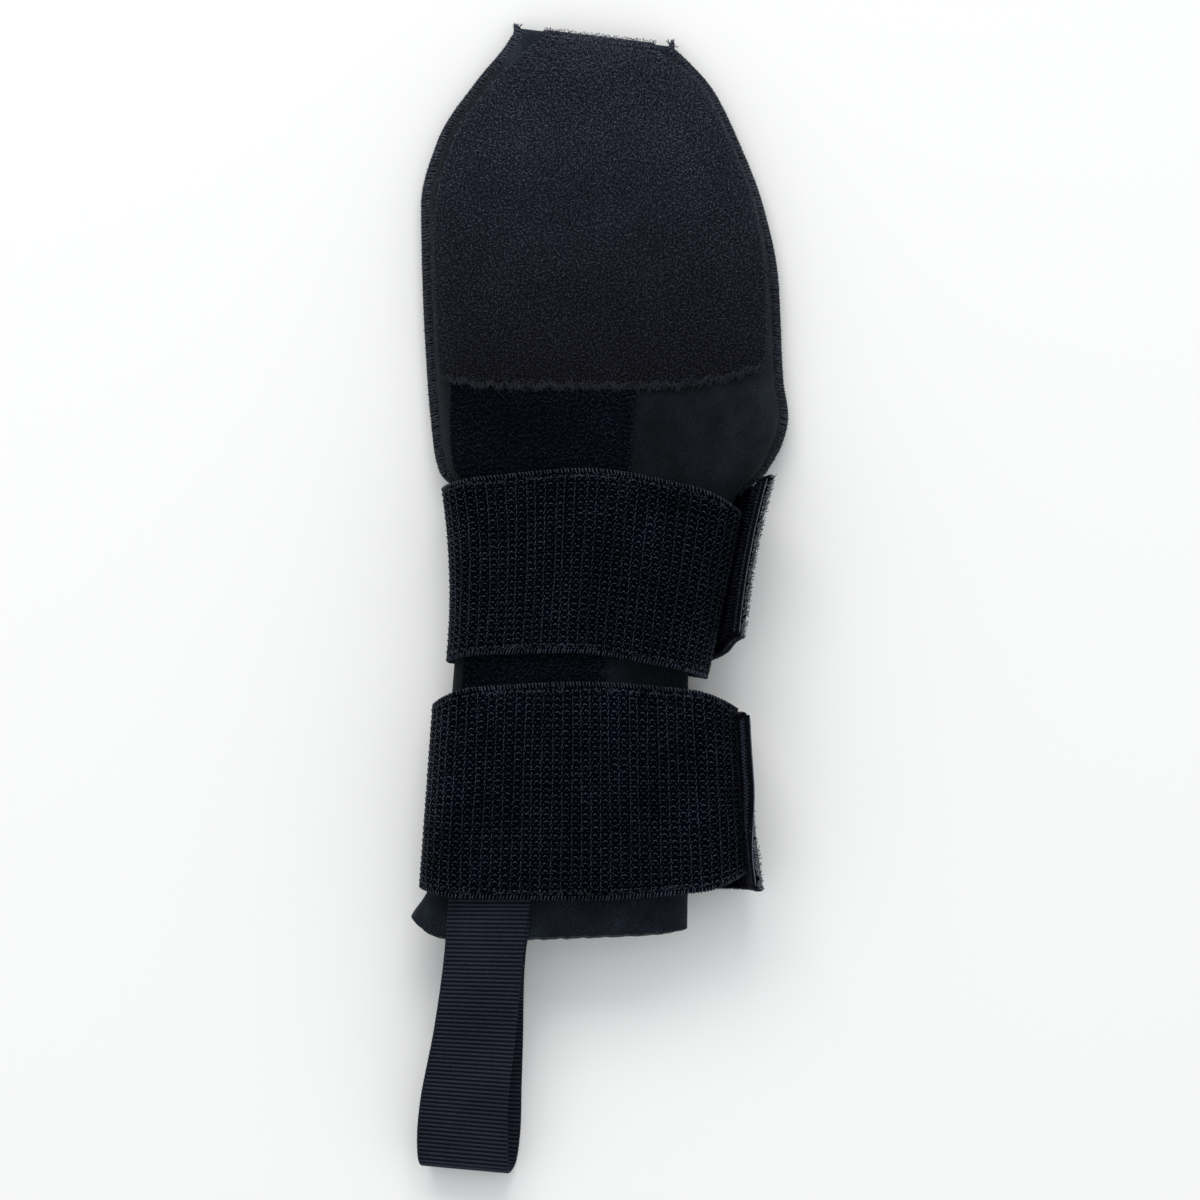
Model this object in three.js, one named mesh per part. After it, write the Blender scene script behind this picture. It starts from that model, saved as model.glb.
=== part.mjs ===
// A sliding mitt for ball sports, lying on its palm side. A neoprene shell is folded over at the
// fingertips and overlocked down both sides, and joins an open neoprene cuff for the wrist. Pile
// fabric covers the back of the hand, two elastic straps with hook tabs wrap the cuff, and a ribbed
// webbing loop is sewn to its hem for pulling it on.
// Millimetres. +X to the right seen from above, +Y towards the fingertips, +Z up from the surface.
// The origin is the middle of the footprint, on the surface.
import * as THREE from 'three';

// Driving dimensions
const neoprene = 3; // wall of the shell
const pile = 1.7; // thickness of the big pile panel
const stripPile = 1.25; // thickness of the narrow pile strip under the straps
const elastic = 2.2; // thickness of the knitted straps
const hookTape = 1.2; // thickness of the hook tape on a strap's end
const webbing = 1.1; // thickness of the pull loop
const clearance = 0.3; // left between pieces that touch
const layerGap = 0.7; // between the shell and the layers on its curved back
const foldRadius = 3; // bend of the shell over the fingertips
const bindingWidth = 3; // the overlocked edge, seen from above
const bindingGap = 0.4; // between it and the shell
const earLength = 2.6; // how far each overlocked edge runs on past the fold

// The shell from wrist to fingertips, a row for each section. left and right are its edges, floor and
// top its heights on the centre line, seam the height of its edges and lip their thickness. edge is
// the width of the sewn margin beside the hollow, slant lifts a section's left end towards the
// fingertips, and curl draws its underside and its two ends back from the cuff's mouth.
const shellRows = [
  { y: -111.2, left: -62.4, right: 28.6, floor: 5.6, top: 24.2, seam: 13.5, lip: 1, edge: 3, slant: -1.5, curl: 1 },
  { y: -92, left: -55.7, right: 28.8, floor: 5.2, top: 24.6, seam: 13.5, lip: 1, edge: 3, slant: 0, curl: 0 },
  { y: -60, left: -51.5, right: 28.9, floor: 5.2, top: 25, seam: 13.2, lip: 1, edge: 3, slant: 0, curl: 0 },
  { y: -24, left: -48.4, right: 28.9, floor: 5.2, top: 25, seam: 13, lip: 1, edge: 3, slant: 0, curl: 0 },
  { y: 6, left: -46.2, right: 35.6, floor: 5.2, top: 25, seam: 12.5, lip: 1.5, edge: 3.4, slant: 0, curl: 0 },
  { y: 28, left: -45.2, right: 41.4, floor: 5.1, top: 24.9, seam: 10.8, lip: 3.6, edge: 4.4, slant: 0, curl: 0 },
  { y: 36, left: -45.9, right: 43.8, floor: 4.2, top: 24.7, seam: 9.4, lip: 4, edge: 4.8, slant: 0, curl: 0 },
  { y: 43, left: -50.9, right: 52.2, floor: 2.8, top: 24.4, seam: 8, lip: 4.2, edge: 5, slant: 0, curl: 0 },
  { y: 60.5, left: -53.3, right: 59.1, floor: 0, top: 23.6, seam: 5.4, lip: 4.4, edge: 5, slant: 0, curl: 0 },
  { y: 71, left: -54.2, right: 57.6, floor: 0, top: 23, seam: 4.8, lip: 4.4, edge: 5, slant: 0, curl: 0 },
  { y: 106, left: -55.8, right: 55.3, floor: 0, top: 21, seam: 4, lip: 4.4, edge: 5, slant: 0, curl: 0 },
  { y: 130, left: -55.9, right: 50.1, floor: 0, top: 18.6, seam: 3.8, lip: 4.4, edge: 5, slant: 0, curl: 0 },
  { y: 150, left: -50.5, right: 42.6, floor: 0, top: 15.6, seam: 3.6, lip: 4.4, edge: 5, slant: 0.5, curl: 0 },
  { y: 168, left: -38.2, right: 34.3, floor: 0, top: 12.3, seam: 3.5, lip: 4.4, edge: 5, slant: 1.5, curl: 0 },
  { y: 178, left: -29.5, right: 27, floor: 0.2, top: 9.8, seam: 3.5, lip: 4.2, edge: 5, slant: 2.5, curl: 0 },
  { y: 182.6, left: -26.2, right: 22.4, floor: 0.4, top: 8.2, seam: 3.7, lip: 3.8, edge: 5, slant: 2.9, curl: 0 },
];
const crown = { flat: 1.02, across: 3.2, down: 2 }; // how square the padded section is
const mouth = { under: 8, left: 8, right: 1.5, corner: 8 }; // how far the hem curls back, how sharp its ends
const sectionStep = 15; // longest stretch of shell between two sections
const halfSection = 12; // facets across the back, and as many across the palm
const crowding = 0.75; // how much closer together those facets are near the edges
const hollowEnd = 180.6; // where the hollow stops short of the fold
const hollowLip = 0.6; // height of the hollow at its two edges
const foldAngles = [30, 55, 75]; // where the fold's sections lie, in degrees round its bend
const join = 17; // where the hand's shell meets the cuff's, under the upper strap

const lerp = THREE.MathUtils.lerp;

// The value of one column at a station y, on a smooth curve through the rows that never overshoots.
function follow(rows, column, y, station = 'y') {
  const last = rows.length - 1;
  const above = rows.findIndex((row) => row[station] >= y);
  const i = above < 0 ? last - 1 : Math.max(0, above - 1);
  const secant = (k) => (rows[k + 1][column] - rows[k][column]) / (rows[k + 1][station] - rows[k][station]);
  const slope = (k) => {
    if (k === 0 || k === last) return secant(k === 0 ? 0 : last - 1);
    const before = secant(k - 1);
    const after = secant(k);
    return before * after > 0 ? (2 * before * after) / (before + after) : 0;
  };
  const span = rows[i + 1][station] - rows[i][station];
  const t = (y - rows[i][station]) / span;
  const rise = t * t * (3 - 2 * t);
  return lerp(rows[i][column], rows[i + 1][column], rise)
    + span * t * (1 - t) * ((1 - t) * slope(i) - t * slope(i + 1));
}

// One closed mesh from points and triangles, turned so that its faces point out.
function solid(name, points, triangles, material) {
  const corner = new THREE.Vector3();
  const volume = triangles.reduce(
    (sum, [a, b, c]) => sum + points[a].dot(corner.crossVectors(points[b], points[c])), 0);
  const facing = volume < 0 ? triangles.map(([a, b, c]) => [a, c, b]) : triangles;
  const geometry = new THREE.BufferGeometry().setFromPoints(points);
  geometry.setIndex(facing.flat());
  geometry.computeVertexNormals();
  const mesh = new THREE.Mesh(geometry, material);
  mesh.name = name;
  return mesh;
}

// Two triangles for each cell between two lines of point numbers.
function band(lineA, lineB, closed = false) {
  const cells = closed ? lineA.length : lineA.length - 1;
  return Array.from({ length: cells }, (_, i) => {
    const next = (i + 1) % lineA.length;
    return [[lineA[i], lineA[next], lineB[next]], [lineA[i], lineB[next], lineB[i]]];
  }).flat();
}

// The same grid of points moved a distance along its own normals.
function lifted(grid, distance) {
  const rows = grid.length - 1;
  const columns = grid[0].length - 1;
  const normal = (i, j) => {
    const along = grid[Math.min(i + 1, rows)][j].clone().sub(grid[Math.max(i - 1, 0)][j]);
    const aside = grid[i][Math.min(j + 1, columns)].clone().sub(grid[i][Math.max(j - 1, 0)]);
    return aside.cross(along).normalize();
  };
  return grid.map((row, i) => row.map((p, j) => p.clone().addScaledVector(normal(i, j), distance)));
}

// A closed sheet between two grids of points.
function slab(name, under, over, material) {
  const rows = over.length;
  const columns = over[0].length;
  const points = [...under.flat(), ...over.flat()];
  const number = (i, j, upper) => (upper ? rows * columns : 0) + i * columns + j;
  const line = (i, upper) => over[0].map((_, j) => number(i, j, upper));
  const side = (j, upper) => over.map((_, i) => number(i, j, upper));
  const triangles = [];
  for (let i = 0; i < rows - 1; i += 1) {
    triangles.push(...band(line(i, true), line(i + 1, true)));
    triangles.push(...band(line(i + 1, false), line(i, false)));
  }
  triangles.push(...band(line(0, false), line(0, true)), ...band(line(rows - 1, true), line(rows - 1, false)));
  triangles.push(...band(side(0, true), side(0, false)));
  triangles.push(...band(side(columns - 1, false), side(columns - 1, true)));
  return solid(name, points, triangles, material);
}

// Every column of the shell's table at station y.
function shellSection(y) {
  const station = Math.min(y, shellRows.at(-1).y);
  const columns = Object.keys(shellRows[0]);
  return Object.fromEntries(columns.map((column) => [column, follow(shellRows, column, station)]));
}

// A point of the shell: s runs from -1 at its left edge to 1 at its right, and face is 1 for the back
// and -1 for the palm. inside gives the hollow's wall in place of the outer surface.
function shellPoint(y, s, face, inside = false) {
  const row = shellSection(y);
  const wall = inside ? neoprene : 0;
  const edge = inside ? row.edge : 0;
  const halfLip = (inside ? hollowLip : row.lip) / 2;
  const past = Math.min(Math.max(0, y - shellRows.at(-1).y) / foldRadius, 1);
  const closing = Math.sqrt(1 - past * past);
  const bulge = Math.min(1, crown.flat * (1 - Math.abs(s) ** crown.across) ** (1 / crown.down));
  const far = face > 0 ? row.top - wall : row.floor + wall;
  const start = row.seam + face * halfLip;
  const z = row.seam + (lerp(start, far, bulge) - row.seam) * closing;
  const x = lerp(row.left + edge, row.right - edge, (s + 1) / 2);
  const below = Math.max(0, (row.seam - z) / (row.seam - row.floor));
  const curled = mouth.under * below + (s < 0 ? mouth.left : mouth.right) * Math.abs(s) ** mouth.corner;
  return new THREE.Vector3(x, y - row.slant * s + row.curl * curled, z);
}

// Places across a section, closer together near its edges.
const across = Array.from({ length: halfSection + 1 }, (_, i) => {
  const even = (2 * i) / halfSection - 1;
  return lerp(even, Math.sin((even * Math.PI) / 2), crowding);
});

// A whole section: the back from left to right, then the palm from right to left.
function shellRing(y, inside) {
  return [
    ...across.map((s) => shellPoint(y, s, 1, inside)),
    ...across.toReversed().map((s) => shellPoint(y, s, -1, inside)),
  ];
}

// Stations for the sections of a stretch: its two ends, every row of the table between them, and
// enough more to keep the shape smooth.
function stations(start, end) {
  const places = [];
  shellRows.slice(1).forEach((row, i) => {
    const from = shellRows[i].y;
    const steps = Math.ceil((row.y - from) / sectionStep);
    for (let k = 0; k < steps; k += 1) places.push(lerp(from, row.y, k / steps));
  });
  return [start, ...places.filter((y) => y > start + 1 && y < end - 1), end];
}

// A wall between outer and inner sections, from an open end to one that is either open or closed.
function makeShell(name, outerStations, innerStations, open, material) {
  const outer = outerStations.map((y) => shellRing(y, false));
  const inner = innerStations.map((y) => shellRing(y, true));
  const points = [...outer.flat(), ...inner.flat()];
  const size = outer[0].length;
  const ring = (k) => Array.from({ length: size }, (_, i) => k * size + i);
  const closeEnd = (k) => band(ring(k).slice(0, size / 2), ring(k).slice(size / 2).toReversed());
  const lastOuter = outer.length - 1;
  const lastInner = outer.length + inner.length - 1;
  const triangles = [];
  for (let k = 0; k < lastOuter; k += 1) triangles.push(...band(ring(k), ring(k + 1), true));
  for (let k = outer.length; k < lastInner; k += 1) triangles.push(...band(ring(k + 1), ring(k), true));
  triangles.push(...band(ring(outer.length), ring(0), true));
  if (open) {
    triangles.push(...band(ring(lastOuter), ring(lastInner), true));
  } else {
    triangles.push(...closeEnd(lastOuter));
    triangles.push(...closeEnd(lastInner).map(([a, b, c]) => [a, c, b]));
  }
  return solid(name, points, triangles, material);
}

// The hand's shell, open at the wrist and closed by the fold over the fingertips.
function makeHandShell(material) {
  const foldStart = shellRows.at(-1).y;
  const round = foldAngles.map((angle) => foldStart + foldRadius * Math.sin(THREE.MathUtils.degToRad(angle)));
  const start = join + clearance / 2;
  const outer = [...stations(start, foldStart), ...round];
  return makeShell('hand_shell', outer, stations(start, hollowEnd), false, material);
}

// The cuff's shell, a tube open at both ends.
function makeCuffShell(material) {
  const places = stations(shellRows[0].y, join - clearance / 2);
  return makeShell('cuff_shell', places, places, true, material);
}

// An overlocked edge: the thread-bound margin beside the shell, from under the strap to an ear that
// stands past the fold. side is -1 for the left edge and 1 for the right. The strap squeezes its
// first stretch narrower.
const squeeze = { width: 0.5, length: 16 };
const bindingLap = 0.4; // how far the thread stands over the shell's edge, above and below
const chamfer = 0.55; // how far each flat side of its section runs
function makeBinding(name, side, startY, material) {
  const foldY = shellRows.at(-1).y;
  const places = stations(startY, foldY);
  const route = places.map((y) => {
    const width = bindingWidth * lerp(squeeze.width, 1, Math.min(1, (y - startY) / squeeze.length));
    const here = shellPoint(y, side, 1);
    const ahead = shellPoint(y + 0.5, side, 1);
    const back = shellPoint(y - 0.5, side, 1);
    const outward = new THREE.Vector3(ahead.y - back.y, back.x - ahead.x, 0).normalize().multiplyScalar(side);
    const { seam, lip } = shellSection(y);
    const centre = here.clone().addScaledVector(outward, bindingGap + width / 2).setZ(seam);
    return { centre, outward, width, halfHeight: lip / 2 + bindingLap };
  });
  const tip = route.at(-1);
  for (const share of [0.5, 1]) {
    route.push({ ...tip, centre: tip.centre.clone().add(new THREE.Vector3(0, earLength * share, 0)) });
  }
  const quarter = [[1, chamfer], [chamfer, 1]];
  const half = [...quarter, ...quarter.toReversed().map(([out, up]) => [-out, up])];
  const corners = [...half, ...half.map(([out, up]) => [-out, -up])];
  const points = route.flatMap(({ centre, outward, width, halfHeight }) => corners.map(([out, up]) => {
    const rise = new THREE.Vector3(0, 0, up * halfHeight);
    return centre.clone().addScaledVector(outward, (out * width) / 2).add(rise);
  }));
  const size = corners.length;
  const ring = (k) => Array.from({ length: size }, (_, i) => k * size + i);
  const triangles = [];
  for (let k = 0; k < route.length - 1; k += 1) triangles.push(...band(ring(k), ring(k + 1), true));
  const fan = (k) => Array.from({ length: size - 2 }, (_, i) => [k * size, k * size + i + 1, k * size + i + 2]);
  triangles.push(...fan(route.length - 1), ...fan(0).map(([a, b, c]) => [a, c, b]));
  return solid(name, points, triangles, material);
}

// The big pile panel on the back of the hand. inset is its distance from the shell's edges.
const panelRows = [
  { y: 60, left: 2, right: 3.4 },
  { y: 110, left: 1.8, right: 2.4 },
  { y: 131, left: 3, right: 2 },
  { y: 168, left: 3, right: 2.8 },
  { y: 177, left: 4.4, right: 4 },
  { y: 181.3, left: 6.1, right: 5.4 },
  { y: 184.6, left: 9.8, right: 7.5 },
];
const panelTop = 184.4;
const panelMiddle = 140; // the station whose facets the whole panel follows
const panelFoot = 69.5; // the lower edge at its lowest
const footRise = { right: 9, left: 5 }; // how far the lower edge rises at each side
function panelFootAt(s) {
  return panelFoot + footRise.right * Math.max(0, s) ** 3 + footRise.left * Math.max(0, -s) ** 6;
}

// The place across the shell, from -1 to 1, that lies a given distance in from an edge.
function insetPlace(y, side, inset) {
  const { left, right } = shellSection(y);
  return side * (1 - (2 * inset) / (right - left));
}

// The places of the shell's own facets that lie well between two others, with those two as ends, so
// that a layer on the shell follows its facets.
function placesBetween(from, to) {
  const margin = 0.04;
  return [from, ...across.filter((s) => s > from + margin && s < to - margin), to];
}

function makePanel(material) {
  const foldStart = shellRows.at(-1).y;
  const along = 16;
  const shares = Array.from({ length: along + 1 }, (_, i) => i / along);
  const from = insetPlace(panelMiddle, -1, panelRows[0].left);
  const to = insetPlace(panelMiddle, 1, panelRows[0].right);
  const widest = placesBetween(from, to);
  const line = (share, top) => widest.map((place) => {
    const rough = lerp(panelFoot, top, share);
    const left = insetPlace(rough, -1, follow(panelRows, 'left', rough));
    const right = insetPlace(rough, 1, follow(panelRows, 'right', rough));
    const s = THREE.MathUtils.mapLinear(place, from, to, left, right);
    return shellPoint(lerp(panelFootAt(s), top, share), s, 1);
  });
  const grid = [...shares.map((share) => line(share, foldStart)), line(1, panelTop)];
  return slab('pile_panel', lifted(grid, layerGap), lifted(grid, layerGap + pile), material);
}

// The narrow pile strip that the straps fasten to. left is its distance from the shell's left edge,
// and right the x of its other edge.
const stripGap = 0.6; // between the strip and the panel
const stripFacets = { along: 16, wide: 10 };
const stripCrowding = 1.3; // above 1, its facets are narrower towards the left, where the shell turns down
const stripRows = [
  { y: -60, left: 3.4, right: -2 },
  { y: -24, left: 3.4, right: 1.5 },
  { y: 28, left: 3, right: 7 },
  { y: 42, left: 3, right: 9.5 },
  { y: 71, left: 5.4, right: 11.4 },
];
function makeStrip(material) {
  const { along, wide } = stripFacets;
  const grid = Array.from({ length: along + 1 }, (_, i) => Array.from({ length: wide + 1 }, (__, j) => {
    const rough = lerp(stripRows[0].y, panelFoot, i / along);
    const { left, right } = shellSection(rough);
    const from = insetPlace(rough, -1, follow(stripRows, 'left', rough));
    const to = (2 * follow(stripRows, 'right', rough) - left - right) / (right - left);
    const s = lerp(from, to, (j / wide) ** stripCrowding);
    return shellPoint(lerp(stripRows[0].y, panelFootAt(s) - stripGap, i / along), s, 1);
  }));
  return slab('pile_strip', lifted(grid, layerGap), lifted(grid, layerGap + stripPile), material);
}

// A strap is a band wound once round the cuff and on past its own start. Its line starts under the
// cuff, turns up round the right, crosses the back, turns down round the left, returns along the
// surface below its start and rises at the right, where the hook tab stands.
const laps = { start: 3, right: 12, back: 14, left: 12, under: 6, rise: 9 }; // facets along each stretch
const startLayer = elastic * 1.5 + clearance; // mid height of the band's first layer under the cuff
const lowestLayer = elastic / 2; // mid height of the layer that lies on the surface
const acrossStrap = 4; // facets across the band
const waistReach = 30; // how far from its middle a strap takes to reach its full waist

// The line of one edge of a strap, seen from the wrist.
function wrapLine(edge) {
  const line = [];
  const push = (count, place) => {
    for (let k = line.length ? 1 : 0; k <= count; k += 1) line.push(place(k / count));
  };
  const bend = (centreX, wide, low, high, from, to) => (t) => {
    const angle = THREE.MathUtils.degToRad(lerp(from, to, t));
    const z = (low + high) / 2 + ((high - low) / 2) * Math.sin(angle);
    return { x: centreX + wide * Math.cos(angle), z };
  };
  const rightCentre = edge.right - edge.rightBend;
  const leftCentre = edge.left + edge.leftBend;
  push(laps.start, (t) => ({ x: lerp(edge.start, rightCentre, t), z: startLayer }));
  push(laps.right, bend(rightCentre, edge.rightBend, startLayer, edge.top, -90, 90));
  push(laps.back, (t) => {
    const z = edge.top + edge.crown * Math.sin(t * Math.PI) ** 2;
    return { x: lerp(rightCentre, leftCentre, t), z };
  });
  push(laps.left, bend(leftCentre, edge.leftBend, lowestLayer, edge.top, 90, 270));
  push(laps.under, (t) => ({ x: lerp(leftCentre, edge.knee, t), z: lowestLayer }));
  const rise = new THREE.CubicBezierCurve(
    new THREE.Vector2(edge.knee, lowestLayer),
    new THREE.Vector2(lerp(edge.knee, edge.tip, edge.sweep), lowestLayer),
    new THREE.Vector2(edge.tip - edge.lean * 0.5, lerp(lowestLayer, edge.tipZ, 0.5)),
    new THREE.Vector2(edge.tip, edge.tipZ),
  );
  push(laps.rise, (t) => {
    const p = rise.getPoint(t);
    return { x: p.x, z: p.y };
  });
  return line;
}

// The strap's middle surface: its two edge lines, each with its own y along the way.
function strapGrid(strap) {
  const lower = wrapLine(strap.lower);
  const upper = wrapLine(strap.upper);
  const marks = [0, laps.start, laps.right, laps.back, laps.left, laps.under, laps.rise];
  const ends = marks.map((_, k) => marks.slice(0, k + 1).reduce((a, b) => a + b));
  const middle = (k) => (ends[k] + ends[k + 1]) / 2;
  const at = [0, middle(1), ends[2], middle(2), ends[3], middle(3), ends[5], ends[6]];
  const rows = strap.run.map((row, k) => ({ ...row, at: at[k] }));
  return lower.map((low, i) => Array.from({ length: acrossStrap + 1 }, (_, j) => {
    const v = j / acrossStrap;
    const y = lerp(follow(rows, 'lower', i, 'at'), follow(rows, 'upper', i, 'at'), v);
    const x = lerp(low.x, upper[i].x, v);
    const towardsLeft = Math.min(1, Math.max(0, (strap.middleX - x) / waistReach));
    const pinch = strap.waist * 4 * v * (1 - v) * towardsLeft;
    return new THREE.Vector3(x + pinch, y, lerp(low.z, upper[i].z, v));
  }));
}

// lower and upper are the edges nearer the wrist and the fingertips. run gives their y at the start,
// the right bend, the two ends and middle of the back, the left bend, the knee and the tip.
const upperStrap = {
  middleX: -10,
  waist: 1.8,
  lower: {
    start: -4, right: 34.5, rightBend: 11, top: 28.2, crown: 0.5, left: -50, leftBend: 9,
    knee: 23, tip: 46.9, tipZ: 27.5, sweep: 0.68, lean: 7,
  },
  upper: {
    start: 4, right: 45.8, rightBend: 14, top: 27.9, crown: 0.4, left: -51.6, leftBend: 10,
    knee: 36, tip: 56.6, tipZ: 28.5, sweep: 0.85, lean: 5,
  },
  run: [
    { lower: -24, upper: 28.5 },
    { lower: -24.6, upper: 28.5 },
    { lower: -23.6, upper: 36.4 },
    { lower: -17.7, upper: 42.6 },
    { lower: -18.4, upper: 39.6 },
    { lower: -20.8, upper: 36.6 },
    { lower: -19.8, upper: 34 },
    { lower: -12.9, upper: 40.4 },
  ],
};
const lowerStrap = {
  middleX: -6,
  waist: 0,
  lower: {
    start: -6, right: 47.2, rightBend: 14, top: 29.2, crown: 0.6, left: -58.9, leftBend: 12,
    knee: 38, tip: 52.1, tipZ: 26.5, sweep: 0.95, lean: 0.2,
  },
  upper: {
    start: -4, right: 44.4, rightBend: 14, top: 28.2, crown: 0.6, left: -54.5, leftBend: 11,
    knee: 35, tip: 48.5, tipZ: 27, sweep: 1, lean: -1,
  },
  run: [
    { lower: -90, upper: -36 },
    { lower: -90.3, upper: -36.1 },
    { lower: -96.4, upper: -30.2 },
    { lower: -98.9, upper: -27.6 },
    { lower: -98.2, upper: -29.6 },
    { lower: -95.3, upper: -35 },
    { lower: -96, upper: -37.6 },
    { lower: -96, upper: -37.6 },
  ],
};

function makeStrap(name, strap, material) {
  const grid = strapGrid(strap);
  return slab(name, lifted(grid, -elastic / 2), lifted(grid, elastic / 2), material);
}

// The hook tape sewn to the inner face of a strap's end.
const tapeFacets = 6; // stretches of the band that it covers
function makeHookTab(name, strap, material) {
  const grid = strapGrid(strap);
  const face = elastic / 2 + clearance;
  const nearEnd = (distance) => lifted(grid, distance).slice(-tapeFacets - 1);
  return slab(name, nearEnd(-face - hookTape), nearEnd(-face), material);
}

// The height of the shell's back over a place on the surface.
function backHeight(x, y) {
  const station = Math.max(y, shellRows[0].y);
  const { left, right } = shellSection(station);
  const s = (2 * x - left - right) / (right - left);
  return shellPoint(station, s, 1).z;
}

// The pull loop: webbing laid on the cuff in two layers under the lower strap, that falls past the
// hem, runs out along the surface and folds back over itself. rise is its height over the cuff, or
// over the surface where free is 1; skew turns it in plan.
const underLayer = layerGap + webbing / 2;
const upperLayer = underLayer + clearance + webbing;
const loopRows = [
  { x: -36, y: -86, rise: upperLayer, free: 0, width: 26.6, skew: 0 },
  { x: -36.5, y: -99, rise: upperLayer, free: 0, width: 26.8, skew: 0 },
  { x: -37.5, y: -110, rise: upperLayer, free: 0, width: 26.4, skew: 0.01 },
  { x: -38.6, y: -121, rise: 25.2, free: 1, width: 26.3, skew: 0.02 },
  { x: -41.2, y: -143, rise: 21.2, free: 1, width: 27.5, skew: 0.05 },
  { x: -44.8, y: -166, rise: 16, free: 1, width: 29.1, skew: 0.08 },
  { x: -45.6, y: -179, rise: 13.2, free: 1, width: 29.9, skew: 0.09 },
  { x: -45.3, y: -186.2, rise: 11.2, free: 1, width: 29.6, skew: 0.09 },
  { x: -44.4, y: -187.6, rise: 6.6, free: 1, width: 28.8, skew: 0.09 },
  { x: -42.9, y: -185.2, rise: 1.9, free: 1, width: 28.6, skew: 0.08 },
  { x: -41.3, y: -176, rise: 0.8, free: 1, width: 28.8, skew: 0.06 },
  { x: -40, y: -160, rise: 0.7, free: 1, width: 28.6, skew: 0.04 },
  { x: -38.9, y: -145, rise: 1.6, free: 1, width: 28, skew: 0.03 },
  { x: -38, y: -133, rise: 7.6, free: 1, width: 27.4, skew: 0.02 },
  { x: -37.5, y: -123, rise: 18, free: 1, width: 27, skew: 0.01 },
  { x: -37.1, y: -115.6, rise: 23.7, free: 1, width: 26.8, skew: 0.01 },
  { x: -36.8, y: -108, rise: underLayer, free: 0, width: 26.8, skew: 0.01 },
  { x: -36.5, y: -99, rise: underLayer, free: 0, width: 26.8, skew: 0 },
  { x: -36, y: -86, rise: underLayer, free: 0, width: 26.6, skew: 0 },
];
function makePullLoop(material) {
  const wide = 4;
  const perRow = 3;
  const edgeLine = (w) => {
    const points = loopRows.map(({ x, y, rise, free, width, skew }) => {
      const out = (w - 0.5) * width;
      const lifted = free ? rise : backHeight(x + out, y) + rise;
      return new THREE.Vector3(x + out, y - skew * out, lifted);
    });
    const curve = new THREE.CatmullRomCurve3(points, false, 'centripetal');
    const steps = (loopRows.length - 1) * perRow;
    return Array.from({ length: steps + 1 }, (_, k) => curve.getPoint(k / steps));
  };
  const lines = Array.from({ length: wide + 1 }, (_, j) => edgeLine(j / wide));
  const grid = lines[0].map((_, i) => lines.map((line) => line[i]));
  return slab('pull_loop', lifted(grid, -webbing / 2), lifted(grid, webbing / 2), material);
}

// Materials
const cloth = (color, roughness) => new THREE.MeshStandardMaterial({ color, roughness, metalness: 0 });
const jersey = cloth(0x191d21, 0.85);
const pileFabric = cloth(0x1c1d22, 1);
const knit = cloth(0x16181d, 0.9);
const thread = cloth(0x1f2024, 0.8);
const hooks = cloth(0x0b0c10, 0.55);
const grosgrain = cloth(0x1d1f2a, 0.7);

const mitt = new THREE.Group();
mitt.add(
  makeHandShell(jersey),
  makeCuffShell(jersey),
  makeBinding('left_edge_binding', -1, 31, thread),
  makeBinding('right_edge_binding', 1, 34.5, thread),
  makePanel(pileFabric),
  makeStrip(pileFabric),
  makeStrap('upper_strap', upperStrap, knit),
  makeHookTab('upper_hook_tab', upperStrap, hooks),
  makeStrap('lower_strap', lowerStrap, knit),
  makeHookTab('lower_hook_tab', lowerStrap, hooks),
  makePullLoop(grosgrain),
);

export default mitt;
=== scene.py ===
import math

import bpy
import numpy as np
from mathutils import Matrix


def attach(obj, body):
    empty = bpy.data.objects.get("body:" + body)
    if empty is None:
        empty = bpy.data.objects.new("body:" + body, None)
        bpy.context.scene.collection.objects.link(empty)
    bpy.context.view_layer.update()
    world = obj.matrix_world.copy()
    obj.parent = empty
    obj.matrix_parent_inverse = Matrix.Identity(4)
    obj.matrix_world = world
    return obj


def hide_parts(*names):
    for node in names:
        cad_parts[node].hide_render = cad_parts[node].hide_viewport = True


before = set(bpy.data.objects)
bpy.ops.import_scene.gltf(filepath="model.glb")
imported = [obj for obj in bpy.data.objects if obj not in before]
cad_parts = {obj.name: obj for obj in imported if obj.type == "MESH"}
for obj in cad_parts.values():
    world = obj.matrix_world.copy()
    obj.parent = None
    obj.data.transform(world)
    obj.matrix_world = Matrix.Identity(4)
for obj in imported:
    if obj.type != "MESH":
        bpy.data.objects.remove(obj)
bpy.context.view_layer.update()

# The table, the daylight and the view
# The mitt lies on a plain white table in soft daylight that comes mostly from beyond the fingertips.
# It is seen from straight above.
scene = bpy.context.scene
scene.view_settings.view_transform = "Standard"


def set_sockets(node, values):
    """Sets a node's sockets. One that is given another node's socket is linked to it."""
    for socket, value in values.items():
        if isinstance(value, bpy.types.NodeSocket):
            node.id_data.links.new(value, node.inputs[socket])
        else:
            node.inputs[socket].default_value = value


def put_in_scene(name, data):
    thing = bpy.data.objects.new(name, data)
    scene.collection.objects.link(thing)
    return thing


table_side = 8.0
table_gap = 0.0002
table_mesh = bpy.data.meshes.new("table_top")
corner = table_side / 2
corners = (-corner, -corner), (corner, -corner), (corner, corner), (-corner, corner)
table_mesh.from_pydata([(x, y, -table_gap) for x, y in corners], [], [(0, 1, 2, 3)])
table_top = put_in_scene("table_top", table_mesh)

white_paper = bpy.data.materials.new("white_paper")
white_paper.use_nodes = True
set_sockets(white_paper.node_tree.nodes["Principled BSDF"], {
    "Base Color": (0.93, 0.93, 0.93, 1), "Roughness": 0.9, "Specular IOR Level": 0.1})
table_mesh.materials.append(white_paper)

daylight = bpy.data.worlds.new("daylight")
daylight.use_nodes = True
set_sockets(daylight.node_tree.nodes["Background"], {"Color": (0.97, 0.985, 1, 1), "Strength": 0.78})
scene.world = daylight

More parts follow.
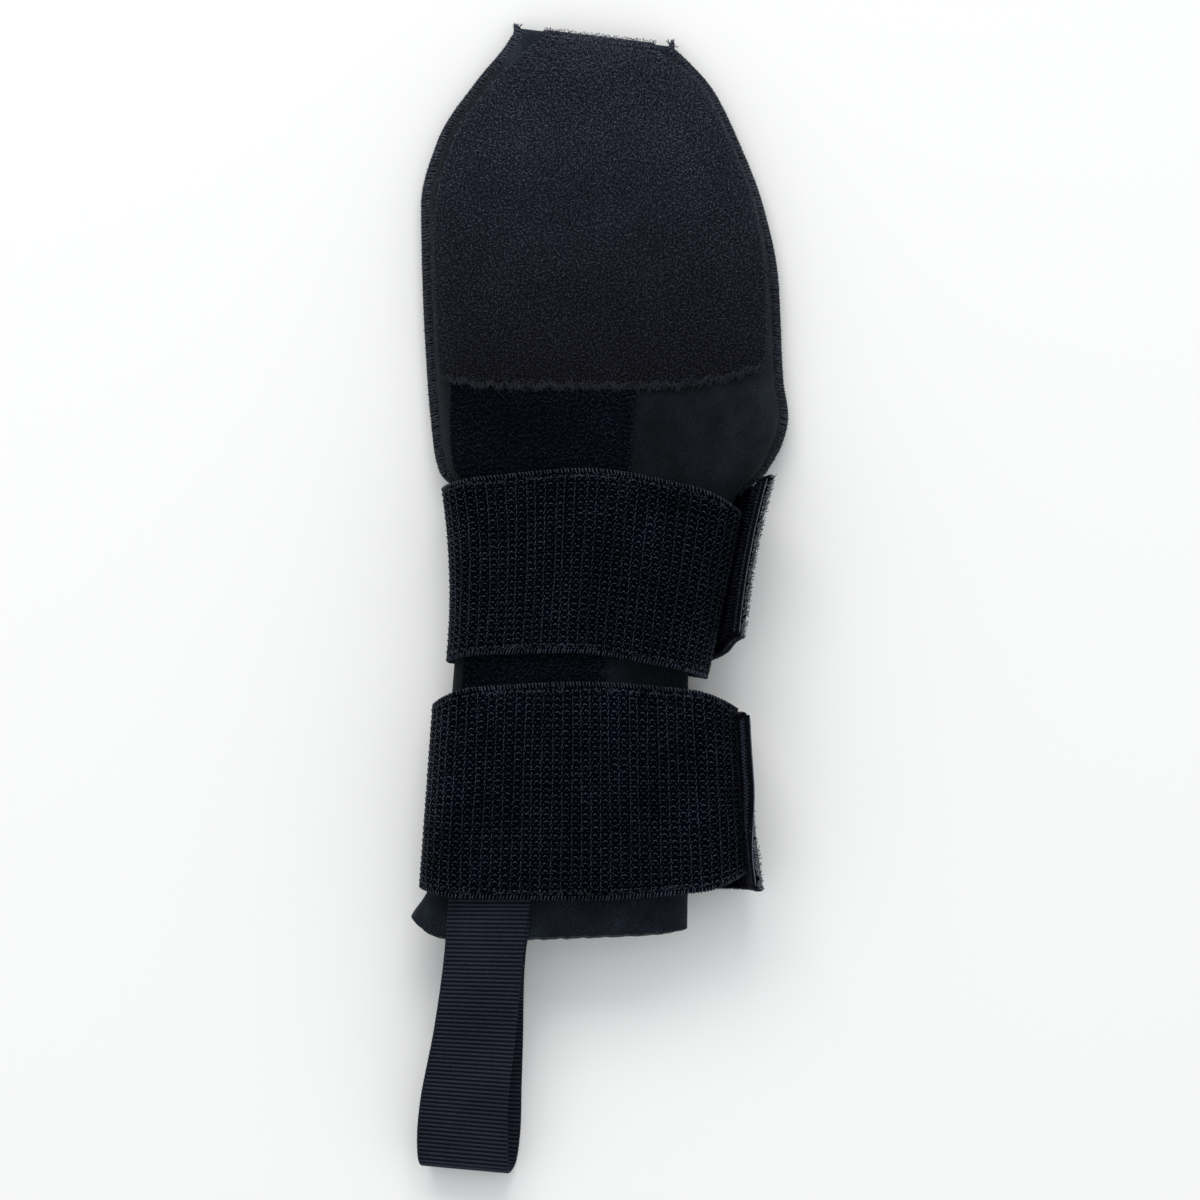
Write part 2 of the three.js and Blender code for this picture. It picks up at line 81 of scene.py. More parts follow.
window_light = bpy.data.lights.new("window_light", "AREA")
window_light.shape = "RECTANGLE"
window_light.size = 2.4
window_light.size_y = 1.2
window_light.energy = 42
window_light.color = (1, 0.985, 0.96)
window = put_in_scene("window_light", window_light)
window_x, window_y, window_z = -0.5, 2.2, 1.7
window.location = (window_x, window_y, window_z)
window.rotation_euler = (math.atan2(-window_y, window_z), 0, math.atan2(window_x, window_y))

picture_width = 0.396
half_height = 0.012
camera_height = 3.6
camera_data = bpy.data.cameras.new("camera")
camera_data.sensor_width = 36
camera_data.lens = camera_data.sensor_width * (camera_height - half_height) / picture_width
camera_data.clip_end = 20
camera = put_in_scene("camera", camera_data)
camera.location = (-0.00017, -0.0005, camera_height)
scene.camera = camera

# The padded body
# One sheet of 3 mm neoprene foam faced with fine black jersey, folded over at the fingertips and
# closed down both sides. The cuff is left open, and its cut edge shows the foam.
neoprene = 3.0
fold_radius = 3.0
body_columns = "y left right floor top seam lip edge slant curl".split()
body_rows = [
    (-111.7, -62.4, 28.6, 5.6, 24.2, 13.5, 1, 3, -1.5, 1),
    (-92, -55.7, 28.8, 5.2, 24.6, 13.5, 1, 3, 0, 0),
    (-60, -51.5, 28.9, 5.2, 25, 13.2, 1, 3, 0, 0),
    (-24, -48.4, 28.9, 5.2, 25, 13, 1, 3, 0, 0),
    (6, -46.2, 35.6, 5.2, 25, 12.5, 1.5, 3.4, 0, 0),
    (28, -45.2, 42.2, 5.1, 24.9, 10.8, 3.6, 4.4, 0, 0),
    (36, -45.9, 46.3, 4.2, 24.7, 9.4, 4, 4.8, 0, 0),
    (43, -50.9, 53, 2.8, 24.4, 8, 4.2, 5, 0, 0),
    (60.5, -53.3, 59.1, 0, 23.6, 5.4, 4.4, 5, 0, 0),
    (71, -54.2, 57.6, 0, 23, 4.8, 4.4, 5, 0, 0),
    (106, -56, 55.8, 0, 21, 4, 4.4, 5, 0, 0),
    (130, -56.4, 50.7, 0, 18.6, 3.8, 4.4, 5, 0, 0),
    (150, -51.1, 43.2, 0, 15.6, 3.6, 4.4, 5, 0.5, 0),
    (168, -38.6, 34.8, 0, 12.3, 3.5, 4.4, 5, 1.5, 0),
    (178, -29.5, 27, 0.2, 9.8, 3.5, 4.2, 5, 2.5, 0),
    (182.6, -26.2, 22.4, 0.4, 8.2, 3.7, 3.8, 5, 2.9, 0),
]
body = {name: np.array(column, float) for name, column in zip(body_columns, zip(*body_rows))}
fold_start = body["y"][-1]
hollow_end = 180.6
crown_flat, crown_across, crown_down = 1.02, 3.2, 0.5
hem_under, hem_left, hem_right, hem_corner = 8, 8, 1.5, 8
hem_ragged_from = -107


def follow(table, column, y, station="y"):
    """Smooth values of a table's column at the places y, that never overshoot its rows."""
    places, values = np.array(table[station], float), np.array(table[column], float)
    secants = np.diff(values) / np.diff(places)
    before, after = secants[:-1], secants[1:]
    same_way = before * after > 0
    inner = np.where(same_way, 2 * before * after / np.where(same_way, before + after, 1), 0)
    slopes = np.concatenate([secants[:1], inner, secants[-1:]])
    i = np.clip(np.searchsorted(places, y) - 1, 0, len(places) - 2)
    span = places[i + 1] - places[i]
    t = (y - places[i]) / span
    bend = span * t * (1 - t) * ((1 - t) * slopes[i] - t * slopes[i + 1])
    return values[i] + (values[i + 1] - values[i]) * t * t * (3 - 2 * t) + bend


def body_point(y, s, face, inside=False):
    """Points of the body: s is -1 at its left edge and 1 at its right, face 1 on the back, -1 below."""
    y, s = np.broadcast_arrays(np.asarray(y, float), np.asarray(s, float))
    row = {name: follow(body, name, np.minimum(y, fold_start)) for name in body_columns}
    wall = neoprene if inside else 0
    edge = row["edge"] if inside else 0
    half_lip = 0.3 if inside else row["lip"] / 2
    past = np.clip((y - fold_start) / fold_radius, 0, 1)
    closing = np.sqrt(1 - past ** 2)
    bulge = np.minimum(1, crown_flat * np.maximum(0, 1 - np.abs(s) ** crown_across) ** crown_down)
    far = row["top"] - wall if face > 0 else row["floor"] + wall
    start = row["seam"] + face * half_lip
    z = row["seam"] + (start + (far - start) * bulge - row["seam"]) * closing
    x = row["left"] + edge + (row["right"] - row["left"] - 2 * edge) * (s + 1) / 2
    below = np.maximum(0, (row["seam"] - z) / (row["seam"] - row["floor"]))
    curled = hem_under * below + np.where(s < 0, hem_left, hem_right) * np.abs(s) ** hem_corner
    return np.stack([x, y - row["slant"] * s + row["curl"] * curled, z], -1)


def ring_numbers(rings, size):
    """Point numbers for a row of rings, each ring closed on its own start."""
    number = np.arange(rings * size).reshape(rings, size)
    return np.concatenate([number, number[:, :1]], 1)


def skin(rows):
    """Quads over equal rows of point numbers."""
    rows = np.stack(rows)
    return np.stack([rows[:-1, :-1], rows[:-1, 1:], rows[1:, 1:], rows[1:, :-1]], -1).reshape(-1, 4)


def make_piece(name, points, faces, materials, slot, finishes=None):
    """One smooth mesh from points in millimetres and lists of faces. It rides on the whole mitt."""
    mesh = bpy.data.meshes.new(name)
    mesh.from_pydata((np.asarray(points) / 1000).tolist(), [], [f for part in faces for f in part.tolist()])
    mesh.polygons.foreach_set("use_smooth", np.ones(len(mesh.polygons), bool))
    for material in materials:
        mesh.materials.append(material)
    if finishes is not None:
        mesh.polygons.foreach_set("material_index", finishes)
    piece = put_in_scene(name, mesh)
    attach(piece, "root")
    return piece


def add_node(material, kind, values, operation=None):
    """A shader node of one kind, with its sockets set."""
    node = material.node_tree.nodes.new("ShaderNode" + kind)
    if operation:
        node.operation = operation
    set_sockets(node, values)
    return node


def own_place(material):
    """The place on the mitt that is being shaded."""
    return material.node_tree.nodes["Texture Coordinate"].outputs["Object"]


def scale_colour(material, value, low, high, scales):
    """Scales a finish's colour from one scale where value is low to another where it is high."""
    shader = material.node_tree.nodes["Principled BSDF"]
    colour = shader.inputs["Base Color"].links[0].from_socket
    share = add_node(material, "MapRange", {
        "Value": value, "From Min": low, "From Max": high, "To Min": scales[0], "To Max": scales[1]})
    scaled = add_node(material, "VectorMath", {0: colour, "Scale": share.outputs["Result"]}, "SCALE")
    set_sockets(shader, {"Base Color": scaled.outputs["Vector"]})


def painted_light_towards(material, axis, places, scales):
    """Paints light and shade into a finish's colour by its place on an axis: its colour is scaled from one
    scale at places[0] to another.
    """
    parts = add_node(material, "SeparateXYZ", {"Vector": own_place(material)})
    scale_colour(material, parts.outputs[axis], places[0] / 1000, places[1] / 1000, scales)


def fibre_finish(name, deep, lit, grain, relief, sheen, roughness=0.95, gloss=0.12, cloud=0.3):
    """A matt cloth finish. Its colour wanders between deep and lit over grain millimetres."""
    material = bpy.data.materials.new(name)
    material.use_nodes = True
    place = add_node(material, "TexCoord", {}).outputs["Object"]
    fine = add_node(material, "TexNoise", {
        "Vector": place, "Scale": 1000 / grain, "Detail": 3, "Roughness": 0.65})
    broad = add_node(material, "TexNoise", {"Vector": place, "Scale": 55, "Detail": 2})
    mixed = add_node(
        material, "Math", {0: broad.outputs["Fac"], 1: cloud, 2: fine.outputs["Fac"]}, "MULTIPLY_ADD")
    colours = add_node(material, "ValToRGB", {"Fac": mixed.outputs[0]})
    for mark, at, colour in zip(colours.color_ramp.elements, (0.39, 0.63), (deep, lit)):
        mark.position = at + cloud / 2
        mark.color = (*colour, 1)
    bump = add_node(material, "Bump", {
        "Height": fine.outputs["Fac"], "Strength": 0.6, "Distance": relief / 1000})
    set_sockets(material.node_tree.nodes["Principled BSDF"], {
        "Base Color": colours.outputs["Color"], "Normal": bump.outputs["Normal"],
        "Roughness": roughness, "Specular IOR Level": gloss, "Sheen Weight": sheen,
        "Sheen Roughness": 0.55, "Sheen Tint": (0.8, 0.86, 1, 1)})
    return material


def add_ribs(material, pitch, depth, turned):
    """Adds fine ridges to a cloth finish, pitch millimetres apart, under its grain, with painted shade in the
    grooves and a painted highlight on the ridges.
    """
    grain = material.node_tree.nodes["Bump"]
    turn = add_node(material, "Mapping", {"Vector": own_place(material), "Rotation": (0, 0, turned)})
    ridges = add_node(material, "TexWave", {
        "Vector": turn.outputs["Vector"], "Scale": 100 * math.pi / pitch, "Distortion": 0.6, "Detail": 1})
    below = add_node(material, "Bump", {
        "Height": ridges.outputs["Fac"], "Strength": 0.7, "Distance": depth / 1000})
    earlier = grain.inputs["Normal"].links
    if earlier:
        set_sockets(below, {"Normal": earlier[0].from_socket})
    set_sockets(grain, {"Normal": below.outputs["Normal"]})
    # Painted shade and highlight: the colour is scaled from 0.84 in the grooves to 1.16 on the ridges.
    scale_colour(material, ridges.outputs["Fac"], 0, 1, (0.84, 1.16))


def add_mottle(material, patch, scales):
    """Makes a finish wander slowly between two shades, over patches some millimetres wide."""
    cloudy = add_node(material, "TexNoise", {
        "Vector": own_place(material), "Scale": 1000 / patch, "Detail": 4, "Roughness": 0.6})
    scale_colour(material, cloudy.outputs["Fac"], 0.32, 0.68, scales)


jersey = fibre_finish(
    "black_jersey", (0.0011, 0.0019, 0.0036), (0.0068, 0.0092, 0.0132), 0.45, 0.12, 0.055, gloss=0.08)
jersey_rib, jersey_turn = 0.74, math.radians(38)
add_ribs(jersey, jersey_rib, 0.26, jersey_turn)
add_ribs(jersey, jersey_rib, 0.14, -jersey_turn)
add_mottle(jersey, 9, (0.62, 1.34))
# Painted highlight: the jersey is painted up to 1.55 times paler towards the right edge, where the back
# slopes down to the seam.
painted_light_towards(jersey, "X", (26, 53), (1, 1.55))
# Painted light: the jersey is painted up to 2.05 times paler towards the cuff, to lift the shade that the
# lower strap and the downturned hem cast there.
painted_light_towards(jersey, "Y", (-40, -100), (1, 2.05))
# Painted light: the jersey is painted up to 3.3 times paler near the fold at the fingertips, where the
# daylight falls from beyond them.
painted_light_towards(jersey, "Y", (164, 182), (1, 3.3))
foam = fibre_finish("cut_foam", (0.012, 0.012, 0.014), (0.05, 0.051, 0.055), 0.35, 0.2, 0.05)

body_step = 2.8
body_across = 34
even = np.linspace(-1, 1, 2 * body_across + 1)
body_s = 0.2 * even + 0.8 * np.sin(even * math.pi / 2)


def body_lines(start, end):
    return np.linspace(start, end, int((end - start) / body_step) + 1)


def body_ring(y, inside):
    """A whole section: the back from left to right, then the palm from right to left."""
    back = body_point(y[:, None], body_s[None, :], 1, inside)
    palm = body_point(y[:, None], body_s[None, ::-1], -1, inside)
    if not inside:
        inward = 1 - np.abs(body_s) ** 8
        x, up = back[..., 0], back[..., 1]
        soft = 0.22 * np.sin(up / 9.5 + 0.6 * np.sin(x / 17)) * np.sin(x / 13 + 0.8 * np.sin(up / 21))
        pucker = 0.16 * np.sin(up * 2 * math.pi / 7.3 + np.sin(up / 8)) * np.abs(body_s) ** 6
        back[..., 2] += (soft * 0.6 + pucker) * inward * np.clip((y[:, None] + 112) / 10, 0, 1)
    section = np.concatenate([back, palm], 1)
    near_hem = np.clip((hem_ragged_from - section[..., 1]) / 3, 0, 1)
    section[..., 1] += 0.28 * near_hem * np.sin(section[..., 0] * 1.3) * np.sin(section[..., 0] * 0.47 + 1)
    return section


fold_angles = np.radians(np.linspace(0, 82, 10)[1:])
cut_edge = body["y"][0] + np.array([0, 0.3])
outer_y = np.concatenate(
    [cut_edge, body_lines(cut_edge[-1], fold_start)[1:], fold_start + fold_radius * np.sin(fold_angles)])
outer = body_ring(outer_y, False)
inner = body_ring(body_lines(body["y"][0], hollow_end), True)
rim_share = np.array([0.06, 0.25, 0.5, 0.75, 0.94])
rim_swell = 0.5 * np.sin(rim_share * math.pi)
rim = outer[0] + (inner[0] - outer[0]) * rim_share[:, None, None]
rim[..., 1] -= rim_swell[:, None]
rings = np.concatenate([inner[::-1], rim[::-1], outer])
ring_size = outer.shape[1]
wound = ring_numbers(len(rings), ring_size)
half_ring = ring_size // 2


def close_end(ring):
    return skin([ring[:half_ring], ring[half_ring:-1][::-1]])


shell_faces = [skin(wound), close_end(wound[-1]), close_end(wound[0])[:, ::-1]]
band_of = np.repeat(np.arange(len(rings) - 1), ring_size)
is_rim = (band_of >= len(inner) - 1) & (band_of <= len(inner) + len(rim))
shell_finish = np.concatenate([is_rim.astype(int), np.zeros(2 * (half_ring - 1), int)])
mitt_body = make_piece("mitt_body", rings.reshape(-1, 3), shell_faces, [jersey, foam], "jersey", shell_finish)
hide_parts("hand_shell", "cuff_shell")

# The pile panel
# The soft loop half of a hook-and-loop fastener, a thick brushed pile cloth sewn over the back of
# the hand. Its loops hang out past its cut edges, most of all along its lower edge.
panel_edge = {
    "y": (60, 110, 131, 168, 177, 181.3, 184.6),
    "left": (2, 1.8, 3, 3, 4.4, 6.1, 9.8),
    "right": (3.4, 1.6, 0.9, 1, 2, 3.6, 6),
}
panel_top, panel_foot = 185.0, 69.5
foot_rise_right, foot_rise_left = 9, 5
panel_backing = (0.3, 1.5)
rng = np.random.default_rng(7)


def place_across(x, y):
    """How far across the body x lies, from -1 at its left edge to 1 at its right."""
    left, right = follow(body, "left", y), follow(body, "right", y)
    return (2 * x - left - right) / (right - left)


def inset_place(y, side, inset):
    width = follow(body, "right", y) - follow(body, "left", y)
    return side * (1 - 2 * inset / width)


def foot_at(s):
    return panel_foot + foot_rise_right * np.maximum(0, s) ** 3 + foot_rise_left * np.maximum(0, -s) ** 6


def panel_surface(along, across):
    """Points of the body's back under the panel, along and across it from 0 to 1."""
    rough = np.minimum(panel_foot + (panel_top - panel_foot) * along, fold_start)
    low = inset_place(rough, -1, follow(panel_edge, "left", rough))
    high = inset_place(rough, 1, follow(panel_edge, "right", rough))
    s = low + (high - low) * across
    foot = foot_at(s)
    return body_point(foot + (panel_top - foot) * along, s, 1)


def unit(vectors):
    return vectors / np.maximum(np.linalg.norm(vectors, axis=-1, keepdims=True), 1e-9)


def lay_on(surface, along, across, small=1e-4, ends=(-1, 2)):
    """Points of a surface, its normals, and its directions along and across."""
    here = surface(along, across)
    before, after = np.clip(along - small, *ends), np.clip(along + small, *ends)
    onward = unit(surface(after, across) - surface(before, across))
    aside = unit(surface(along, across + small) - surface(along, across - small))
    return here, unit(np.cross(aside, onward)), onward, aside


def stops(length, rounding, step):
    """Places from 0 to 1 along a sheet, close together where its edges are rounded."""
    near = rounding * np.array([0, 0.06, 0.25, 0.6])
    count = max(2, int(round((length - 2 * rounding) / step)) + 1)
    middle = np.linspace(rounding, length - rounding, count)
    return np.concatenate([near, middle, length - near[::-1]]) / length


def rounded_sheet(grid, normals, low, high, rounding):
    """Points and faces of a closed sheet between two lifts, its edges rounded off."""

    def from_edges(axis):
        step = np.linalg.norm(np.diff(grid, axis=axis), axis=-1)
        start = np.zeros_like(np.take(step, [0], axis))
        walked = np.cumsum(np.concatenate([start, step], axis), axis)
        return np.minimum(walked, np.take(walked, [-1], axis) - walked)

    away = np.minimum(from_edges(0), from_edges(1))
    swell = np.sqrt(1 - (1 - np.minimum(1, away / rounding)) ** 2)
    middle, half = (low + high) / 2, (high - low) / 2
    upper = grid + normals * (middle + half * swell)[..., None]
    under = grid + normals * (middle - half * swell)[..., None]
    rows, columns = away.shape
    top = np.arange(rows * columns).reshape(rows, columns)
    bottom = top.copy()
    bottom[1:-1, 1:-1] = rows * columns + np.arange((rows - 2) * (columns - 2)).reshape(rows - 2, -1)
    points = np.concatenate([upper.reshape(-1, 3), under[1:-1, 1:-1].reshape(-1, 3)])
    return points, [skin(top), skin(bottom)[:, ::-1]]


def closed_cloth(size, steps, rounding, lifts, lay, *surface):
    """Points and faces of a cloth of this size, laid on a surface between two lifts from it."""
    places = [stops(length, rounding, step) for length, step in zip(size, steps)]
    grid, normals, _, _ = lay(*surface, *np.meshgrid(*places, indexing="ij"))
    return rounded_sheet(grid, normals, *lifts, rounding)


def threads(centres, ups, radius, sides):
    """Closed threads, each through a row of centres, with both ends drawn to a tip."""
    onward = unit(np.gradient(centres, axis=1))
    aside = unit(np.cross(onward, ups))
    upward = np.cross(aside, onward)
    angle = 2 * math.pi * np.arange(sides) / sides
    round_it = aside[:, :, None] * np.cos(angle)[:, None] + upward[:, :, None] * np.sin(angle)[:, None]
    count, length = centres.shape[:2]
    thick = np.broadcast_to(radius, (count, length))[:, 1:-1, None, None]
    rings = centres[:, 1:-1, None] + thick * round_it[:, 1:-1]
    size = 2 + (length - 2) * sides
    points = np.concatenate([centres[:, :1], rings.reshape(count, -1, 3), centres[:, -1:]], 1)
    ring = 1 + np.arange((length - 2) * sides).reshape(-1, sides)
    turned = np.roll(ring, -1, 1)
    start = np.stack([np.zeros(sides, int), ring[0], turned[0]], -1)
    end = np.stack([np.full(sides, size - 1), turned[-1], ring[-1]], -1)
    walls = np.stack([ring[:-1], ring[1:], turned[1:], turned[:-1]], -1).reshape(-1, 4)
    offset = (np.arange(count) * size)[:, None, None]
    tips = (np.concatenate([start, end])[None] + offset).reshape(-1, 3)
    walls = (walls[None] + offset).reshape(-1, 4)
    return points.reshape(-1, 3), [tips, walls]


def pile_loops(here, normals, heading, spans, heights, radii, sink=0.5):
    """Small arched loops of pile yarn standing on a cloth, each bent a little its own way."""
    count = len(here)
    span, height, radius = (rng.uniform(*ends, (count, 1)) for ends in (spans, heights, radii))
    side = unit(np.cross(normals, heading))
    reach = np.array([-0.5, -0.27, 0.24, 0.5])
    rise = np.array([-sink, 0.85, 0.95, -sink])
    wander = rng.normal(0, 0.17, (count, 4)) * [0.6, 1.2, 1.2, 0.6]
    lift = np.where(rise > 0, rise * height * rng.uniform(0.75, 1.2, (count, 4)), rise)
    centres = (
        here[:, None] + heading[:, None] * (reach * span)[..., None]
        + side[:, None] * (wander * span)[..., None] + normals[:, None] * lift[..., None])
    return threads(centres, normals[:, None], radius, 3)


def tangled(onward, aside, turn):
    """Directions in the cloth, turned from onward towards aside."""
    return onward * np.cos(turn)[:, None] + aside * np.sin(turn)[:, None]


pile_ground = fibre_finish(
    "pile_ground", (0.0013, 0.0016, 0.0038), (0.0105, 0.0125, 0.0225), 0.6, 0.5, 0.03, cloud=0.1)
pile_yarn = fibre_finish(
    "pile_yarn", (0.0056, 0.0064, 0.0116), (0.092, 0.097, 0.136), 0.6, 0.1, 0.1, cloud=0.12)
# pile_yarn and the yarn below are lit and shaded copies of one black yarn: the darker one is painted shade,
# used for half of the panel's loops and for its side fringes.
shaded_pile_yarn = fibre_finish(
    "shaded_pile_yarn", (0.003, 0.0035, 0.0068), (0.0415, 0.0445, 0.0645), 0.6, 0.1, 0.08, cloud=0.12)
# Painted light and shade: the pile's cloth and yarns are painted from 0.3 times as bright at its foot to 1.5
# times towards the fingertips, where the daylight comes from.
for finish in (pile_ground, pile_yarn, shaded_pile_yarn):
    painted_light_towards(finish, "Y", (66, 150), (0.3, 1.5))

panel_length, panel_width = 116, 108
cloth = closed_cloth((panel_length, panel_width), (2, 2), 1.2, panel_backing, lay_on, panel_surface)
panel = make_piece("pile_panel_cloth", *cloth, [pile_ground], "pile")
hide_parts("pile_panel")

pile_pitch = 0.8
pile_size = (0.5, 1.2), (0.3, 0.8), (0.09, 0.148)


def cell_middles(rows, columns):
    """The middle of each cell of a grid, from 0 to 1 along it and across it."""
    return np.meshgrid((np.arange(rows) + 0.5) / rows, (np.arange(columns) + 0.5) / columns, indexing="ij")


rows = int(panel_length / pile_pitch)
columns = int(panel_width / pile_pitch)
along, across = cell_middles(rows, columns)
along = (along + rng.uniform(-0.6, 0.6, along.shape) / rows).ravel()
across = (across + rng.uniform(-0.6, 0.6, across.shape) / columns).ravel()
# The loops named under stand on the same cloth as the upper ones; they only take the darker yarn, as painted
# shade among the pile.
for name, first, yarn in (("under", 0, shaded_pile_yarn), ("upper", 1, pile_yarn)):
    here, normals, onward, aside = lay_on(panel_surface, along[first::2], across[first::2])
    heading = tangled(onward, aside, rng.uniform(0, 2 * math.pi, len(here)))
    pile = pile_loops(here + normals * panel_backing[1], normals, heading, *pile_size)
    make_piece(f"pile_panel_{name}_loops", *pile, [yarn], "pile")


def ragged_edge(surface, along, across, outward, drop, length, height, uneven=0.0):
    """Longer loops that hang out past a cut edge. outward is their way out of the cloth."""
    here, normals, onward, aside = lay_on(surface, *np.broadcast_arrays(along, across))
    out = onward * outward[0] + aside * outward[1]
    count = len(here)
    turn = rng.normal(0, 0.55, count)
    side = np.cross(normals, out)
    heading = unit(out * np.cos(turn)[:, None] + side * np.sin(turn)[:, None])
    clumps = 0.7 * np.sin(np.arange(count) * 0.21 + 2 * np.sin(np.arange(count) * 0.047)) * uneven
    start = here + normals * drop + heading * (rng.uniform(-0.3, 0.5, count) + clumps)[:, None]
    return pile_loops(start, normals, heading, length, height, (0.11, 0.18), 0.7)


def join(parts):
    """Several lots of points and faces as one."""
    points, faces, offset = [], [], 0
    for some, lots in parts:
        points.append(some)
        faces.extend(lot + offset for lot in lots)
        offset += len(some)
    return np.concatenate(points), faces


fringe_count = 620
side_count = 300
full = np.linspace(0.01, 0.99, fringe_count)
part = np.linspace(0.02, 0.9, side_count)
low_edge = ragged_edge(panel_surface, 0.004, full, (-1, 0), 0.9, (2, 4.6), (0.4, 1.2), 1.0)
left_edge = ragged_edge(panel_surface, part, 0.006, (0, -1), 0.9, (1.2, 2.2), (0.3, 0.7))
right_edge = ragged_edge(panel_surface, part, 0.994, (0, 1), 0.9, (1.2, 2.2), (0.3, 0.7))
high_edge = ragged_edge(
    panel_surface, 0.985 + 0.012 * rng.random(fringe_count), full, (1, 0), 1.2, (0.6, 1.0), (0.15, 0.35))
make_piece("pile_panel_fringe", *join([low_edge, high_edge]), [pile_yarn], "pile")
over_seam = np.linspace(0.28, 0.93, 400)
past_edge = [
    ragged_edge(panel_surface, over_seam, place, (0, 1), drop, reach, (0.3, 0.8), 0.5)
    for place, drop, reach in ((0.992, 0.7, (1.4, 3.2)), (0.999, 0.4, (2.4, 4.6)), (1.004, 0.2, (3, 5)))]
side_edges = join([left_edge, right_edge, *past_edge])
make_piece("pile_panel_side_fringe", *side_edges, [shaded_pile_yarn], "pile")

# The pile strip
# A narrower band of the same pile cloth that runs down from the panel under both straps. It is
# brushed less, so its loops still lie in the rows they were knitted in.
strip_edge = {
    "y": (-60, -24, 28, 42, 71),
    "left": (3.4, 3.4, 3, 3, 5.4),
    "right": (-2, 1.5, 7, 9.5, 11.4),
}
strip_end, strip_gap = -60, 0.6
strip_backing = (0.3, 1.1)
row_pitch, loop_pitch = 1.8, 0.82


def strip_surface(along, across):
    rough = strip_end + (panel_foot - strip_end) * along
    low = inset_place(rough, -1, follow(strip_edge, "left", rough))
    high = place_across(follow(strip_edge, "right", rough), rough)
    s = low + (high - low) * across
    return body_point(strip_end + (foot_at(s) - strip_gap - strip_end) * along, s, 1)


strip_ground = fibre_finish(
    "strip_ground", (0.0002, 0.0005, 0.0013), (0.0016, 0.0027, 0.006), 0.8, 0.4, 0.008, gloss=0.04)
strip_yarn = fibre_finish(
    "strip_yarn", (0.0006, 0.0013, 0.0034), (0.0165, 0.023, 0.041), 0.75, 0.1, 0.03, gloss=0.08)
strip_length, strip_width = 131, 55
cloth = closed_cloth((strip_length, strip_width), (2.4, 2.2), 1.0, strip_backing, lay_on, strip_surface)
strip = make_piece("pile_strip_cloth", *cloth, [strip_ground], "pile")
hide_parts("pile_strip")

rows = int(strip_length / row_pitch)
columns = int(strip_width / loop_pitch)
along, across = cell_middles(rows, columns)
across = across + rng.uniform(-0.4, 0.4, across.shape) / columns
along = along + (rng.normal(0, 0.24, along.shape) + 0.3 * np.sin(across * 23 + along * 9)) / rows
here, normals, onward, aside = lay_on(strip_surface, along.ravel(), across.ravel())
heading = tangled(onward, aside, math.pi / 2 - 0.18 + rng.normal(0, 0.7, len(here)))
rowed_size = (1, 2), (0.3, 0.8), (0.1, 0.15)
rowed_pile = pile_loops(here + normals * strip_backing[1], normals, heading, *rowed_size)
part = np.linspace(0.02, 0.98, 170)
left_edge = ragged_edge(strip_surface, part, 0.01, (0, -1), 0.6, (1, 2), (0.2, 0.5))
right_edge = ragged_edge(strip_surface, part, 0.99, (0, 1), 0.6, (1.6, 3.2), (0.4, 0.8), 0.5)
all_pile = join([rowed_pile, left_edge, right_edge])
strip_pile = make_piece("pile_strip_loops", *all_pile, [strip_yarn], "pile")

# The two overlocked edges
# The back and the palm are closed by an overlock seam: thread is wound over the raw edge, with a
# looper thread chained along each side. Each seam runs on past the fold as a loose ear.
binding_width, binding_gap = 3.0, 0.05
squeeze_width, squeeze_length = 0.5, 16
ear_length = 2.6
wrap_pitch = 1.02
wrap_radius, looper_radius = (0.26, 0.4), 0.26
tail_count = 7
corner_out = np.array([1, 0.55, -0.2, -0.9, -1, -0.9, -0.2, 0.55, 1])
corner_up = np.array([0, 0.85, 1.02, 0.95, 0, -0.95, -1.02, -0.85, 0])


def walked_along(line):
    """How far each point of a line is from its start, along the line."""
    return np.concatenate([[0], np.cumsum(np.linalg.norm(np.diff(line, axis=0), axis=1))])


def at_distance(values, walked, where):
    """Values known at the points of a line, at other distances along it."""
    return np.stack([np.interp(where, walked, column) for column in np.atleast_2d(values.T)], -1)


def edge_route(side, start):
    """The middle of an overlocked edge: places, outward directions, half widths and half heights."""
    y = np.linspace(start, fold_start, 400)
    here = body_point(y, side + 0 * y, 1)
    tangent = np.gradient(here, axis=0)
    outward = unit(np.stack([tangent[:, 1], -tangent[:, 0], 0 * y], -1)) * side
    width = binding_width * np.minimum(1, squeeze_width + (1 - squeeze_width) * (y - start) / squeeze_length)
    centre = here + outward * (binding_gap + width / 2)[:, None]
    centre[:, 2] = follow(body, "seam", y)
    tall = follow(body, "lip", y) / 2 + 0.35
    ear = np.linspace(0, 1, 12)[1:, None] * [0, ear_length, 0]
    centre = np.concatenate([centre, centre[-1] + ear])
    outward, width, tall = (
        np.concatenate([values, np.repeat(values[-1:], len(ear), 0)]) for values in (outward, width, tall))
    walked = walked_along(centre)
    even = np.linspace(0, walked[-1], 2 * int(walked[-1] / wrap_pitch) + 1)
    centre, outward, width, tall = (
        at_distance(values, walked, even) for values in (centre, outward, width, tall))
    return centre, unit(outward), width[:, 0] / 2, tall[:, 0]


